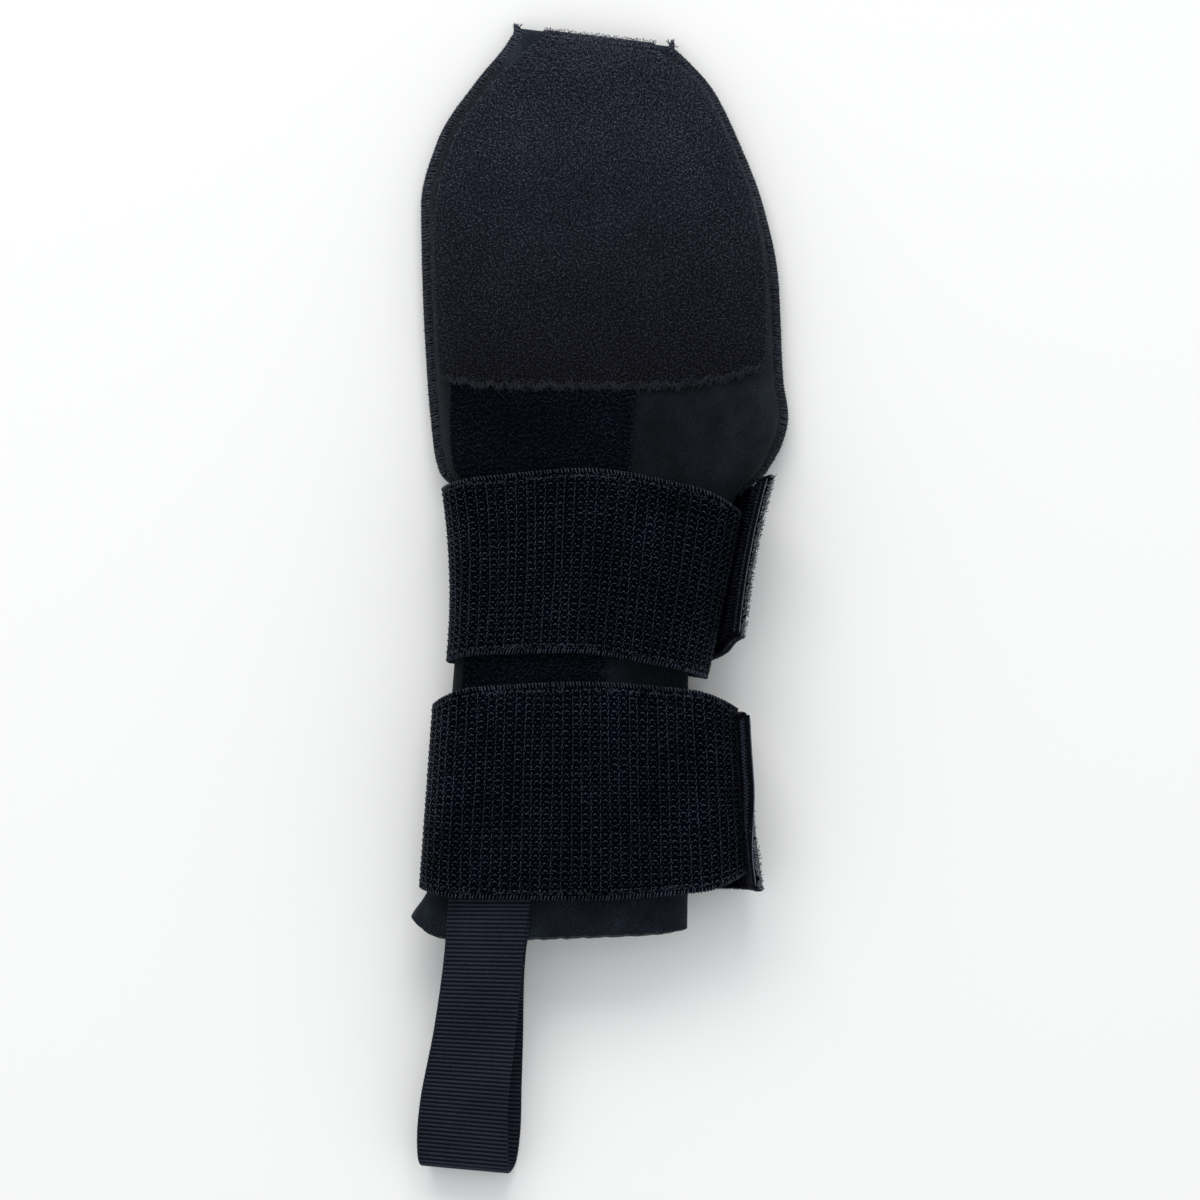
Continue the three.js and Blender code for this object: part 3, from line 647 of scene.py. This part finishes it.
def overlock(side, start):
    """The raw edge's bound tube and the threads wound and chained on it."""
    centre, outward, half, tall = edge_route(side, start)
    up = np.array([0, 0, 1.0])

    def around(grow, i=slice(None), out=corner_out, high=corner_up):
        return (
            centre[i, None] + outward[i, None] * (out * (half[i, None] + grow))[..., None]
            + up * (high * (tall[i, None] + grow))[..., None])

    tube = around(-0.12)[:, :-1]
    length, size = tube.shape[:2]
    wound = ring_numbers(length, size)
    first = np.stack([np.full(size, length * size), wound[0, 1:], wound[0, :-1]], -1)
    last = np.stack([np.full(size, length * size + 1), wound[-1, :-1], wound[-1, 1:]], -1)
    faces = [lot[:, ::side] for lot in (skin(wound), first, last)]
    base = (np.concatenate([tube.reshape(-1, 3), centre[[0, -1]]]), faces)

    i = np.arange(1, length - 1, 2)
    wraps = around(rng.uniform(-0.02, 0.26, (len(i), 1)), i)
    onward = unit(centre[i + 1] - centre[i])
    slant = np.linspace(-0.9, 0.9, wraps.shape[1])
    wraps = wraps + onward[:, None] * (slant[:, None] + rng.normal(0, 0.12, (len(i), 1, 1)))
    wraps = wraps + rng.normal(0, 0.07, wraps.shape)
    wound_threads = threads(wraps, wraps - centre[i, None], rng.uniform(*wrap_radius, (len(i), 1)), 4)
    fine = around(-0.08, i) + onward[:, None] * (0.5 * wrap_pitch - slant[:, None])
    twins = threads(fine, fine - centre[i, None], 0.15, 3)
    tail_at = np.array([0, 0.5, 1.2, 1.9, 2.3])
    tails = centre[-1] + rng.uniform(-0.7, 0.7, (tail_count, 1, 3)) * [1.6, 0.4, 1.5]
    tails = tails + tail_at[:, None] * unit(rng.normal(0, 0.45, (tail_count, 1, 3)) + [0, 1, 0])
    tails = tails + np.cumsum(rng.normal(0, 0.14, tails.shape), 1) - [0, 0.6, 0]
    tail_threads = threads(tails, up, 0.17, 3)
    zig = np.where(np.arange(length) % 2 == 0, -1.0, -0.62)[:, None]
    chains = []
    for face in (1, -1):
        line = around(0.15, out=zig, high=0.98 * face + 0 * zig)[None, :, 0]
        chains.append(threads(line, up, looper_radius, 5))
    return base, join([wound_threads, twins, tail_threads, *chains])


bound_edge = fibre_finish(
    "bound_edge", (0.0011, 0.0014, 0.0028), (0.005, 0.006, 0.0105), 0.6, 0.15, 0.03, gloss=0.05)
edge_thread = fibre_finish(
    "edge_thread", (0.0022, 0.0027, 0.0054), (0.04, 0.045, 0.064), 0.7, 0.1, 0.06, 0.8, 0.2)
# Painted light: the bound edge and its threads are painted up to 1.6 times paler towards the fingertips,
# where the daylight comes from.
for finish in (bound_edge, edge_thread):
    painted_light_towards(finish, "Y", (60, 186), (1, 1.6))
for name, side, start in (("left", -1, 31.0), ("right", 1, 34.5)):
    base, sewn = overlock(side, start)
    edge = make_piece(f"{name}_bound_edge", *base, [bound_edge], "thread")
    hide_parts(f"{name}_edge_binding")
    make_piece(f"{name}_overlock_thread", *sewn, [edge_thread], "thread")

# The two elastic straps
# Each is a wide band of heavy knitted elastic wound once round the cuff and on past its own start,
# with upright cords, open arched loops between them, and a whipped selvedge down both edges.
elastic = 2.2
start_layer, lowest_layer = 3.6, 1.1
bow_start = 0.93
# The stretches are the start, the right bend, the back, the left bend, the palm side and the
# standing end. Each takes so many steps, and each step so many points.
stretch_steps = (3, 12, 14, 12, 6, 9)
step_points = 8
# For each edge, start and knee are the x where it begins and where its end turns up, right and left
# a bend's outermost x and width, top the height and crown over the back, and tip its end's x and z.
upper_strap = {
    "waist": 1.8, "middle": -10, "bow": 1.3, "flare": 1.3,
    "lower": dict(start=-4, right=(34.5, 11), top=(28.2, 0.5), left=(-50, 9),
                  knee=23, tip=(46.9, 27.5), sweep=0.68, lean=7),
    "upper": dict(start=4, right=(45.8, 14), top=(27.9, 0.4), left=(-51.6, 10),
                  knee=36, tip=(56.6, 28.5), sweep=0.85, lean=5),
    "run_lower": (-24, -26.2, -22.6, -17.7, -18.4, -20.8, -22.4, -12.9),
    "run_upper": (28.5, 28.5, 36.4, 42.6, 39.6, 36.6, 35.4, 40.4),
}
lower_strap = {
    "waist": 0, "middle": -6, "bow": 0.6, "flare": 1.1,
    "lower": dict(start=-6, right=(47.2, 14), top=(29.2, 0.6), left=(-58.9, 12),
                  knee=38, tip=(52.8, 26.5), sweep=0.95, lean=0.2),
    "upper": dict(start=-4, right=(44.4, 14), top=(28.2, 0.6), left=(-54.5, 11),
                  knee=35, tip=(47.8, 27), sweep=1, lean=-1),
    "run_lower": (-90, -90.3, -96.4, -98.9, -98.2, -95.3, -96, -96),
    "run_upper": (-36, -36.1, -30.2, -27.6, -29.6, -35, -37.6, -37.6),
}


def wound_line(edge):
    """x and z along one edge of a strap, from its start under the cuff to its standing tip."""
    start, knee = edge["start"], edge["knee"]
    (right, right_bend), (left, left_bend) = edge["right"], edge["left"]
    (top, crown), (tip, tip_z) = edge["top"], edge["tip"]
    right_centre, left_centre = right - right_bend, left + left_bend
    t = [np.linspace(0, 1, steps * step_points + 1)[min(k, 1):] for k, steps in enumerate(stretch_steps)]

    def bend(centre, wide, low, high, angle):
        return centre + wide * np.cos(angle), (low + high) / 2 + (high - low) / 2 * np.sin(angle)

    guides = np.array([
        (knee, lowest_layer),
        (knee + (tip - knee) * edge["sweep"], lowest_layer),
        (tip - edge["lean"] / 2, (lowest_layer + tip_z) / 2),
        (tip, tip_z),
    ])
    up, rest = t[5], 1 - t[5]
    rise = np.stack([rest ** 3, 3 * up * rest ** 2, 3 * up ** 2 * rest, up ** 3], -1) @ guides
    parts = [
        (start + (right_centre - start) * t[0], start_layer + 0 * t[0]),
        bend(right_centre, right_bend, start_layer, top, np.radians(180 * t[1] - 90)),
        (right_centre + (left_centre - right_centre) * t[2], top + crown * np.sin(t[2] * math.pi) ** 2),
        bend(left_centre, left_bend, lowest_layer, top, np.radians(180 * t[3] + 90)),
        (left_centre + (knee - left_centre) * t[4], lowest_layer + 0 * t[4]),
        (rise[:, 0], rise[:, 1]),
    ]
    return [np.concatenate(values) for values in zip(*parts)]


def strap_surface(strap):
    """A function that gives points of the strap's middle, from 0 to 1 along it and across it."""
    (low_x, low_z), (high_x, high_z) = wound_line(strap["lower"]), wound_line(strap["upper"])
    ends = np.cumsum([0, *stretch_steps])
    marks = [0, (ends[1] + ends[2]) / 2, ends[2], (ends[2] + ends[3]) / 2, ends[3],
             (ends[3] + ends[4]) / 2, ends[5], ends[6]]
    run = {"at": marks, "lower": strap["run_lower"], "upper": strap["run_upper"]}
    at = np.arange(len(low_x)) / step_points
    low = np.stack([low_x, follow(run, "lower", at, "at"), low_z], -1)
    high = np.stack([high_x, follow(run, "upper", at, "at"), high_z], -1)
    middle = (low + high) / 2
    walked = walked_along(middle)
    share = walked / walked[-1]

    def surface(along, across):
        on_low, on_high = at_distance(low, share, along), at_distance(high, share, along)
        here = on_low + (on_high - on_low) * np.asarray(across)[..., None]
        left = np.clip((strap["middle"] - here[..., 0]) / 30, 0, 1)
        here[..., 0] += strap["waist"] * 4 * across * (1 - across) * left
        standing = np.clip((along - bow_start) / (1 - bow_start), 0, 1)
        here[..., 0] -= strap["bow"] * 4 * across * (1 - across) * standing
        here[..., 0] -= strap["flare"] * 6.75 * standing ** 2 * (1 - standing)
        return here
    return surface, walked[-1]


def smooth_on(surface, along, across):
    """As lay_on, over a wider step, so that the strap's short chords don't show in its normals."""
    return lay_on(surface, along, across, 0.004, (0, 1))


# Painted shade: the elastic band under the cords and loops is painted nearly black, for the shade in the
# holes between them.
shaded_elastic_ground = fibre_finish(
    "shaded_elastic_ground", (0.0002, 0.0004, 0.0012), (0.0012, 0.0021, 0.0056), 0.7, 0.4, 0.0, gloss=0.02)
elastic_loops = fibre_finish(
    "elastic_loops", (0.0009, 0.0016, 0.0044), (0.038, 0.049, 0.074), 0.9, 0.06, 0.03, 0.5, 0.3)
elastic_cords = fibre_finish(
    "elastic_cords", (0.0009, 0.0015, 0.0042), (0.036, 0.046, 0.069), 1.3, 0.06, 0.03, 0.55, 0.25)
wale_pitch, course_pitch = 3.2, 2.0
selvedge, whip_pitch = 1.4, 1.08
knit_face = 0.72
cut_back = {"upper": 0.0, "lower": 3.2}
cut_back_from, cut_back_full = 0.12, 0.62
cut_back_stretch = 0.12
cord_radius, loop_radius, speck_radius, whip_radius = (0.15, 0.2), (0.12, 0.18), (0.1, 0.16), (0.2, 0.28)
cord_rise = np.array([-0.32, 0.16, 0.22])
loop_out = np.array([-0.2, -0.21, 0.0, 0.21, 0.2])
loop_climb = np.array([-0.36, 0.0, 0.2, 0.0, -0.36])
loop_rise = np.array([-0.5, 0.0, 0.34, 0.0, -0.5])
speck_bend = np.array([-0.5, -0.2, 0.2, 0.5])
speck_rise = np.array([-0.3, 0.16, 0.16, -0.3])
whip_over = np.array([1.5, 0.9, 0.3, -0.16, -0.16, 0.3, 1.2])
whip_rise = np.array([-0.3, 0.12, 0.1, -0.5, -1.4, -2.0, -1.7])


def strap_yarns(surface, length, width, rng):
    """The cords and arched loops on the strap's outer face, and the whipping on its edges."""
    wales = int(length / wale_pitch)
    courses = int((width - 2 * selvedge) / course_pitch)
    inset = selvedge / width
    whole_wales = (np.arange(wales) + 0.5) / wales

    def put(along, across, lift):
        here, normals, _, _ = smooth_on(surface, along, across)
        return here + normals * (knit_face + np.asarray(lift))[..., None], normals

    def up_strap(course):
        return inset + (1 - 2 * inset) * course / courses

    steps = np.arange(courses * len(cord_rise) + 1)
    swing = 0.15 * np.sin(steps * 2 * math.pi / len(cord_rise))
    size = (wales, len(steps))
    wander = np.cumsum(rng.normal(0, 0.03, size), 1) + rng.normal(0, 0.05, size)
    along = whole_wales[:, None] + (swing + wander) / length
    lift = cord_rise[steps % len(cord_rise)] * rng.uniform(0.6, 1.3, along.shape)
    across = up_strap(steps / len(cord_rise)) + 0 * along
    cords = threads(*put(along, across, lift), rng.uniform(*cord_radius, (wales, 1)), 3)

    count = (wales - 1) * courses

    def stray(amount):
        return rng.normal(0, amount, (count, 1))

    def between(low, high):
        return rng.uniform(low, high, (count, 1))

    wale, course = np.divmod(np.arange(count)[:, None], courses)
    middle = wale + 0.5 + stray(0.035)
    lean = rng.normal(0.08, 0.14, (count, 1)) * loop_climb
    along = whole_wales[0] + (middle + loop_out * between(0.7, 1.25) + lean) / wales
    climb = loop_climb * between(0.75, 1.15) + stray(0.035)
    climb = climb + 0.22 * np.sin(wale * 0.5 + 2 * np.sin(course * 0.3)) * np.sin(course * 0.23 + wale * 0.11)
    across = up_strap(course + 0.5 + climb)
    lift = loop_rise + stray(0.06)
    thick = between(*loop_radius) * [0.6, 0.8, 1.3, 0.8, 0.6]
    parts = [threads(*put(along, across, lift), thick, 3)]

    def specks(middle, course, size):
        many = len(middle)
        turn = rng.uniform(-1.3, 1.3, (many, 1))
        far = size * rng.uniform(0.6, 1.4, (many, 1)) * speck_bend
        along = whole_wales[0] + middle / wales + far * np.cos(turn) / length
        across = up_strap(course) + far * np.sin(turn) / width
        return threads(*put(along, across, speck_rise + 0 * along), rng.uniform(*speck_radius, (many, 1)), 3)

    for share in (0.19, 0.81):
        beside = wale + share + stray(0.03)
        parts.append(specks(beside, course + 0.1 + stray(0.05), 0.8))
    whips = int(length / whip_pitch)
    many = whips * 2
    for low in (0.0, courses - 0.5):
        beside = rng.uniform(-0.5, wales - 0.5, (many, 1))
        parts.append(specks(beside, low + rng.uniform(-0.1, 0.6, (many, 1)), 1.1))

    edges = []
    at = ((np.arange(whips) + 0.5) / whips)[:, None]
    for side in (0, 1):
        across = side + (1 - 2 * side) * whip_over * rng.uniform(0.85, 1.1, (whips, 1)) / width
        along = at + (np.linspace(-0.45, 0.45, len(whip_over)) + rng.normal(0, 0.12, (whips, 1))) / length
        whipping = put(along, across, whip_rise + 0 * along)
        edges.append(threads(*whipping, rng.uniform(*whip_radius, (whips, 1)), 3))
    return cords, join(parts), join(edges)


def drawn_share(across):
    share = np.clip((across - cut_back_from) / (cut_back_full - cut_back_from), 0, 1)
    return share * share * (3 - 2 * share)


def cut_slanting(surface, length, back):
    """The strap's surface with its last stretch drawn in, so that its end is cut at a slant."""
    def drawn_in(along, across):
        near_end = np.clip(1 - (1 - along) / cut_back_stretch, 0, 1)
        return surface(along - near_end * drawn_share(across) * back / length, across)
    return drawn_in


strap_pieces = {}
for name, strap, width, seed in (("upper", upper_strap, 58, 11), ("lower", lower_strap, 64, 12)):
    full_surface, length = strap_surface(strap)
    surface = cut_slanting(full_surface, length, cut_back[name])
    cloth = closed_cloth((length, width), (2, 3), 1.0, (-elastic / 2, knit_face), smooth_on, surface)
    band = make_piece(f"{name}_strap_band", *cloth, [shaded_elastic_ground], "knit")
    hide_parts(f"{name}_strap")
    cords, arches, whipped = strap_yarns(surface, length, width, np.random.default_rng(seed))
    yarns = (("cords", cords, elastic_cords), ("loops", arches, elastic_loops),
             ("selvedge", whipped, elastic_cords))
    going = [make_piece(f"{name}_strap_{yarn}", *mesh, [finish], "knit") for yarn, mesh, finish in yarns]
    strap_pieces[name] = (full_surface, surface, length, width, band, going)

# The hook tabs
# The stiff half of the fastener: woven nylon tape set with rows of tiny hooks, sewn to the inner
# face of each strap's end with a zigzag seam. The cut edge of the tape shows as a pale line.
hook_tape = 0.9
tape_face = -elastic / 2 - 0.15
tape_inner = tape_face - hook_tape
tape_length = {"upper": 26.0, "lower": 24.0}
tape_share, tape_inset = 0.992, 0.012
hook_row_pitch, hook_pitch, hook_radius = 2.4, 1.25, 0.13
hook_reach = np.array([0, 0, 0.12, 0.42, 0.62, 0.55])
hook_rise = np.array([-0.2, 0.3, 0.62, 0.72, 0.5, 0.3])
stitch_pitch, stitch_in, stitch_width = 0.68, 0.9, 1.7
tuft_spacing = 0.09
tuft_reach = np.array([-0.5, 0.15, 0.6, 0.75, 0.35])
tuft_bend = np.array([0, 0.05, 0.2, 0.55, 0.75])
tape_cloth = fibre_finish(
    "hook_tape", (0.0003, 0.0004, 0.0018), (0.0013, 0.0019, 0.0052), 0.6, 0.2, 0.0, 0.75, 0.06)
hook_nylon = fibre_finish(
    "hook_nylon", (0.001, 0.0014, 0.005), (0.026, 0.033, 0.066), 0.9, 0.02, 0.0, 0.5, 0.2)
pale_edge = fibre_finish(
    "tape_cut_edge", (0.02, 0.025, 0.036), (0.14, 0.16, 0.2), 0.5, 0.05, 0.1, 0.7, 0.3)
seam_thread = fibre_finish(
    "seam_thread", (0.008, 0.011, 0.022), (0.05, 0.062, 0.1), 0.6, 0.05, 0.05, 0.8, 0.2)
# Painted sheen: the cut ends standing out at each strap's end are painted pale, for the bright surroundings
# that light them.
sheen_painted_cut_yarn = fibre_finish(
    "sheen_painted_cut_yarn", (0.026, 0.031, 0.037), (0.24, 0.26, 0.28), 0.55, 0.05, 0.15, 0.85, 0.15)
for name, (surface, cut_surface, length, width, band, going) in strap_pieces.items():
    rng = np.random.default_rng(31)
    begin = 1 - tape_length[name] / length
    is_slanting = cut_back[name] > 0

    def on_tape(along, across):
        """As smooth_on. Where the strap's end is drawn in, the tape leans out over it."""
        here, normals, onward, aside = smooth_on(
            surface, begin + (1 - begin) * tape_share * along, tape_inset + (1 - 2 * tape_inset) * across)
        drawn = cut_back[name] * drawn_share(across)
        past = np.clip(1 - (1 - along) * tape_length[name] / np.maximum(drawn, 0.3), 0, 1)
        over = (elastic + knit_face - 0.1) * drawn_share(across) * past * is_slanting
        return here + normals * over[..., None], normals, onward, aside

    cloth = closed_cloth((tape_length[name], width), (0.8, 2), 0.5, (tape_inner, tape_face), on_tape)
    tab = make_piece(f"{name}_hook_tape", *cloth, [tape_cloth], "hooks")
    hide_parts(f"{name}_hook_tab")

    rows, columns = int(tape_length[name] / hook_row_pitch), int(width / hook_pitch)
    along, across = np.meshgrid(
        np.linspace(0.04, 0.955, rows), np.linspace(0.03, 0.97, columns), indexing="ij")
    across = across + ((np.arange(rows)[:, None] % 2) * 0.5 + rng.normal(0, 0.12, across.shape)) / columns
    along = along + rng.normal(0, 0.16, along.shape) / rows
    here, normals, onward, aside = on_tape(along.ravel(), across.ravel())
    way = np.where(rng.random(len(here)) < 0.5, 1, -1)[:, None]
    centres = (here + normals * tape_inner)[:, None]
    centres = centres + (onward * way)[:, None] * hook_reach[:, None] - normals[:, None] * hook_rise[:, None]
    hooks = make_piece(
        f"{name}_tape_hooks", *threads(centres, aside[:, None], hook_radius, 3), [hook_nylon], "hooks")

    count = int(width * (cut_back_full if is_slanting else 1) / tuft_spacing)
    across = rng.uniform(0.004, cut_back_full - 0.04 if is_slanting else 0.996, count)
    here, normals, onward, aside = smooth_on(cut_surface, np.ones(count), across)
    start = here + normals * rng.uniform(-elastic / 2 + 0.15, knit_face + 0.15, count)[:, None]
    up, along = rng.normal(-0.05, 0.35, (count, 1)), rng.normal(0, 0.45, (count, 1))
    out = unit(onward + normals * up + aside * along)
    curl = unit(np.cross(out, rng.normal(0, 1, (count, 3))))
    reach = tuft_reach * rng.uniform(0.5, 1.25, (count, 1))
    bent = tuft_bend * rng.uniform(0.5, 1.1, (count, 1))
    tufts = start[:, None] + out[:, None] * reach[..., None] + curl[:, None] * bent[..., None]
    tufts = threads(tufts, normals[:, None], rng.uniform(0.1, 0.16, (count, 1)), 3)
    cut_end = make_piece(f"{name}_strap_cut_end", *tufts, [sheen_painted_cut_yarn], "knit")

    stitches = int(width / stitch_pitch)
    legs = np.linspace(0, stitches, 3 * stitches + 1)
    along = 1 - (stitch_in + stitch_width * np.abs(legs % 2 - 1)) / tape_length[name]
    here, normals, _, _ = on_tape(along, 0.03 + 0.94 * legs / stitches)
    line = here + normals * (tape_inner - 0.12)
    seam = make_piece(
        f"{name}_tape_seam", *threads(line[None], -normals[None], 0.15, 4), [seam_thread], "hooks")

    run = np.linspace(0.01, 0.99, 60)
    here, normals, onward, _ = on_tape(0 * run + 1.0, run)
    line = here + normals * (tape_face - 0.3) + onward * 0.12
    cut = make_piece(
        f"{name}_tape_edge", *threads(line[None], -normals[None], 0.19, 4), [pale_edge], "hooks")

# The pull loop
# Ribbed grosgrain webbing, both ends sewn to the cuff under the lower strap. It falls past the hem,
# runs out along the table and folds back over itself, so that a hand can pull the mitt on.
webbing = 1.1
under_layer = 0.7 + webbing / 2
upper_layer = under_layer + 0.3 + webbing
loop_rows = [
    (-36, -86, upper_layer, 26.6, 0),
    (-36.5, -99, upper_layer, 26.8, 0),
    (-37.8, -110, upper_layer, 26, 0.01),
    (-38.9, -121, 25.2, 25.8, 0.02),
    (-41.5, -143, 21.2, 26.9, 0.05),
    (-45, -166, 16, 28.7, 0.08),
    (-45.6, -179, 13.2, 29.9, 0.09),
    (-45.3, -186.8, 11.2, 29.6, 0.09),
    (-44.4, -188.2, 6.6, 28.8, 0.09),
    (-42.7, -185.6, 1.9, 29.2, 0.08),
    (-41.2, -176, 0.8, 29.2, 0.06),
    (-40.1, -160, 0.7, 28, 0.04),
    (-39.2, -145, 1.6, 27.1, 0.03),
    (-38.6, -133, 7.6, 26.3, 0.02),
    (-38.1, -123, 18, 26, 0.01),
    (-37.6, -115.8, 23.7, 26.2, 0.01),
    (-36.8, -108, under_layer, 26.8, 0.01),
    (-36.5, -99, under_layer, 26.8, 0),
    (-36, -86, under_layer, 26.6, 0),
]
rib_pitch = 1.39
rib_radius, rib_lift = 0.43, 0.12
ground_half = 0.24


def back_height(x, y):
    station = np.maximum(y, body["y"][0])
    return body_point(station, place_across(x, station), 1)[..., 2]


def catmull(points, steps):
    """A smooth line through points, drawn so that it doesn't overshoot at the tight folds."""
    ends = np.concatenate([[2 * points[0] - points[1]], points, [2 * points[-1] - points[-2]]])
    line = []
    for k in range(len(points) - 1):
        p = ends[k:k + 4]
        knots = np.concatenate([[0], np.cumsum(np.linalg.norm(np.diff(p, axis=0), axis=1) ** 0.5)])
        t = (knots[1] + (knots[2] - knots[1]) * np.arange(steps) / steps)[:, None]

        def blend(a, b, i, j):
            return ((knots[j] - t) * a + (t - knots[i]) * b) / (knots[j] - knots[i])

        a = [blend(p[i], p[i + 1], i, i + 1) for i in range(3)]
        b = [blend(a[i], a[i + 1], i, i + 2) for i in range(2)]
        line.append(blend(b[0], b[1], 1, 2))
    return np.concatenate([*line, points[-1:]])


def loop_line(place):
    """One line along the webbing, place from -0.5 at its left edge to 0.5 at its right.

    It rises from the cuff's back where it lies on the cuff, and from the table past the hem."""
    x, y, rise, width, skew = np.array(loop_rows, float).T
    out = place * width
    height = rise + np.where(y > body["y"][0], back_height(x + out, y), 0)
    return catmull(np.stack([x + out, y - skew * out, height], -1), 24)


middle_walked = walked_along(loop_line(0))
webbing_length = middle_walked[-1]


def lay_webbing(count, places):
    """Evenly spaced points along the webbing at places across it, and its normals there."""
    at = webbing_length * (np.arange(count) + 0.5) / count

    def line_at(place, shift):
        return at_distance(loop_line(place), middle_walked, np.clip(at + shift, 0, webbing_length))

    grid = np.stack([line_at(place, 0) for place in places], 1)
    along = np.stack([line_at(place, 1.6) - line_at(place, -1.6) for place in places], 1)
    across = line_at(0.5, 0) - line_at(-0.5, 0)
    return grid, unit(np.cross(across[:, None], along))


ribs = int(webbing_length / rib_pitch)
ground_places = np.array([-0.5, -0.498, -0.49, -0.4, -0.2, 0, 0.2, 0.4, 0.49, 0.498, 0.5])
grid, normals = lay_webbing(ribs * 2, ground_places)
cloth = rounded_sheet(grid, normals, -ground_half, ground_half, 0.25)
# Painted shade: the webbing's core under the ribs is painted dark, for the shade in the grooves between the
# ribs.
shaded_webbing_ground = fibre_finish(
    "shaded_webbing_ground", (0.0009, 0.0013, 0.0038), (0.0035, 0.0045, 0.0105), 0.45, 0.05, 0.02, 0.8, 0.1)
grosgrain = fibre_finish(
    "grosgrain", (0.0025, 0.0034, 0.0108), (0.0165, 0.0195, 0.043), 0.45, 0.06, 0.05, 0.65, 0.22)
webbing_cloth = make_piece("pull_loop_webbing", *cloth, [shaded_webbing_ground], "grosgrain")
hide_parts("pull_loop")
rib_places = np.array([-0.505, -0.5, -0.485, -0.25, 0, 0.25, 0.485, 0.5, 0.505])
rib_shape = np.array([0, 0.6, 0.97, 1, 1, 1, 0.97, 0.6, 0]) * rib_radius
centres, normals = lay_webbing(ribs, rib_places)
faces_of_rib = []
for face in (1, -1):
    ups = normals * face
    thick = rib_shape * rng.uniform(0.94, 1.06, (ribs, 1))
    faces_of_rib.append(threads(centres + ups * rib_lift, ups, thick, 6))
webbing_ribs = make_piece("pull_loop_ribs", *join(faces_of_rib), [grosgrain], "grosgrain")
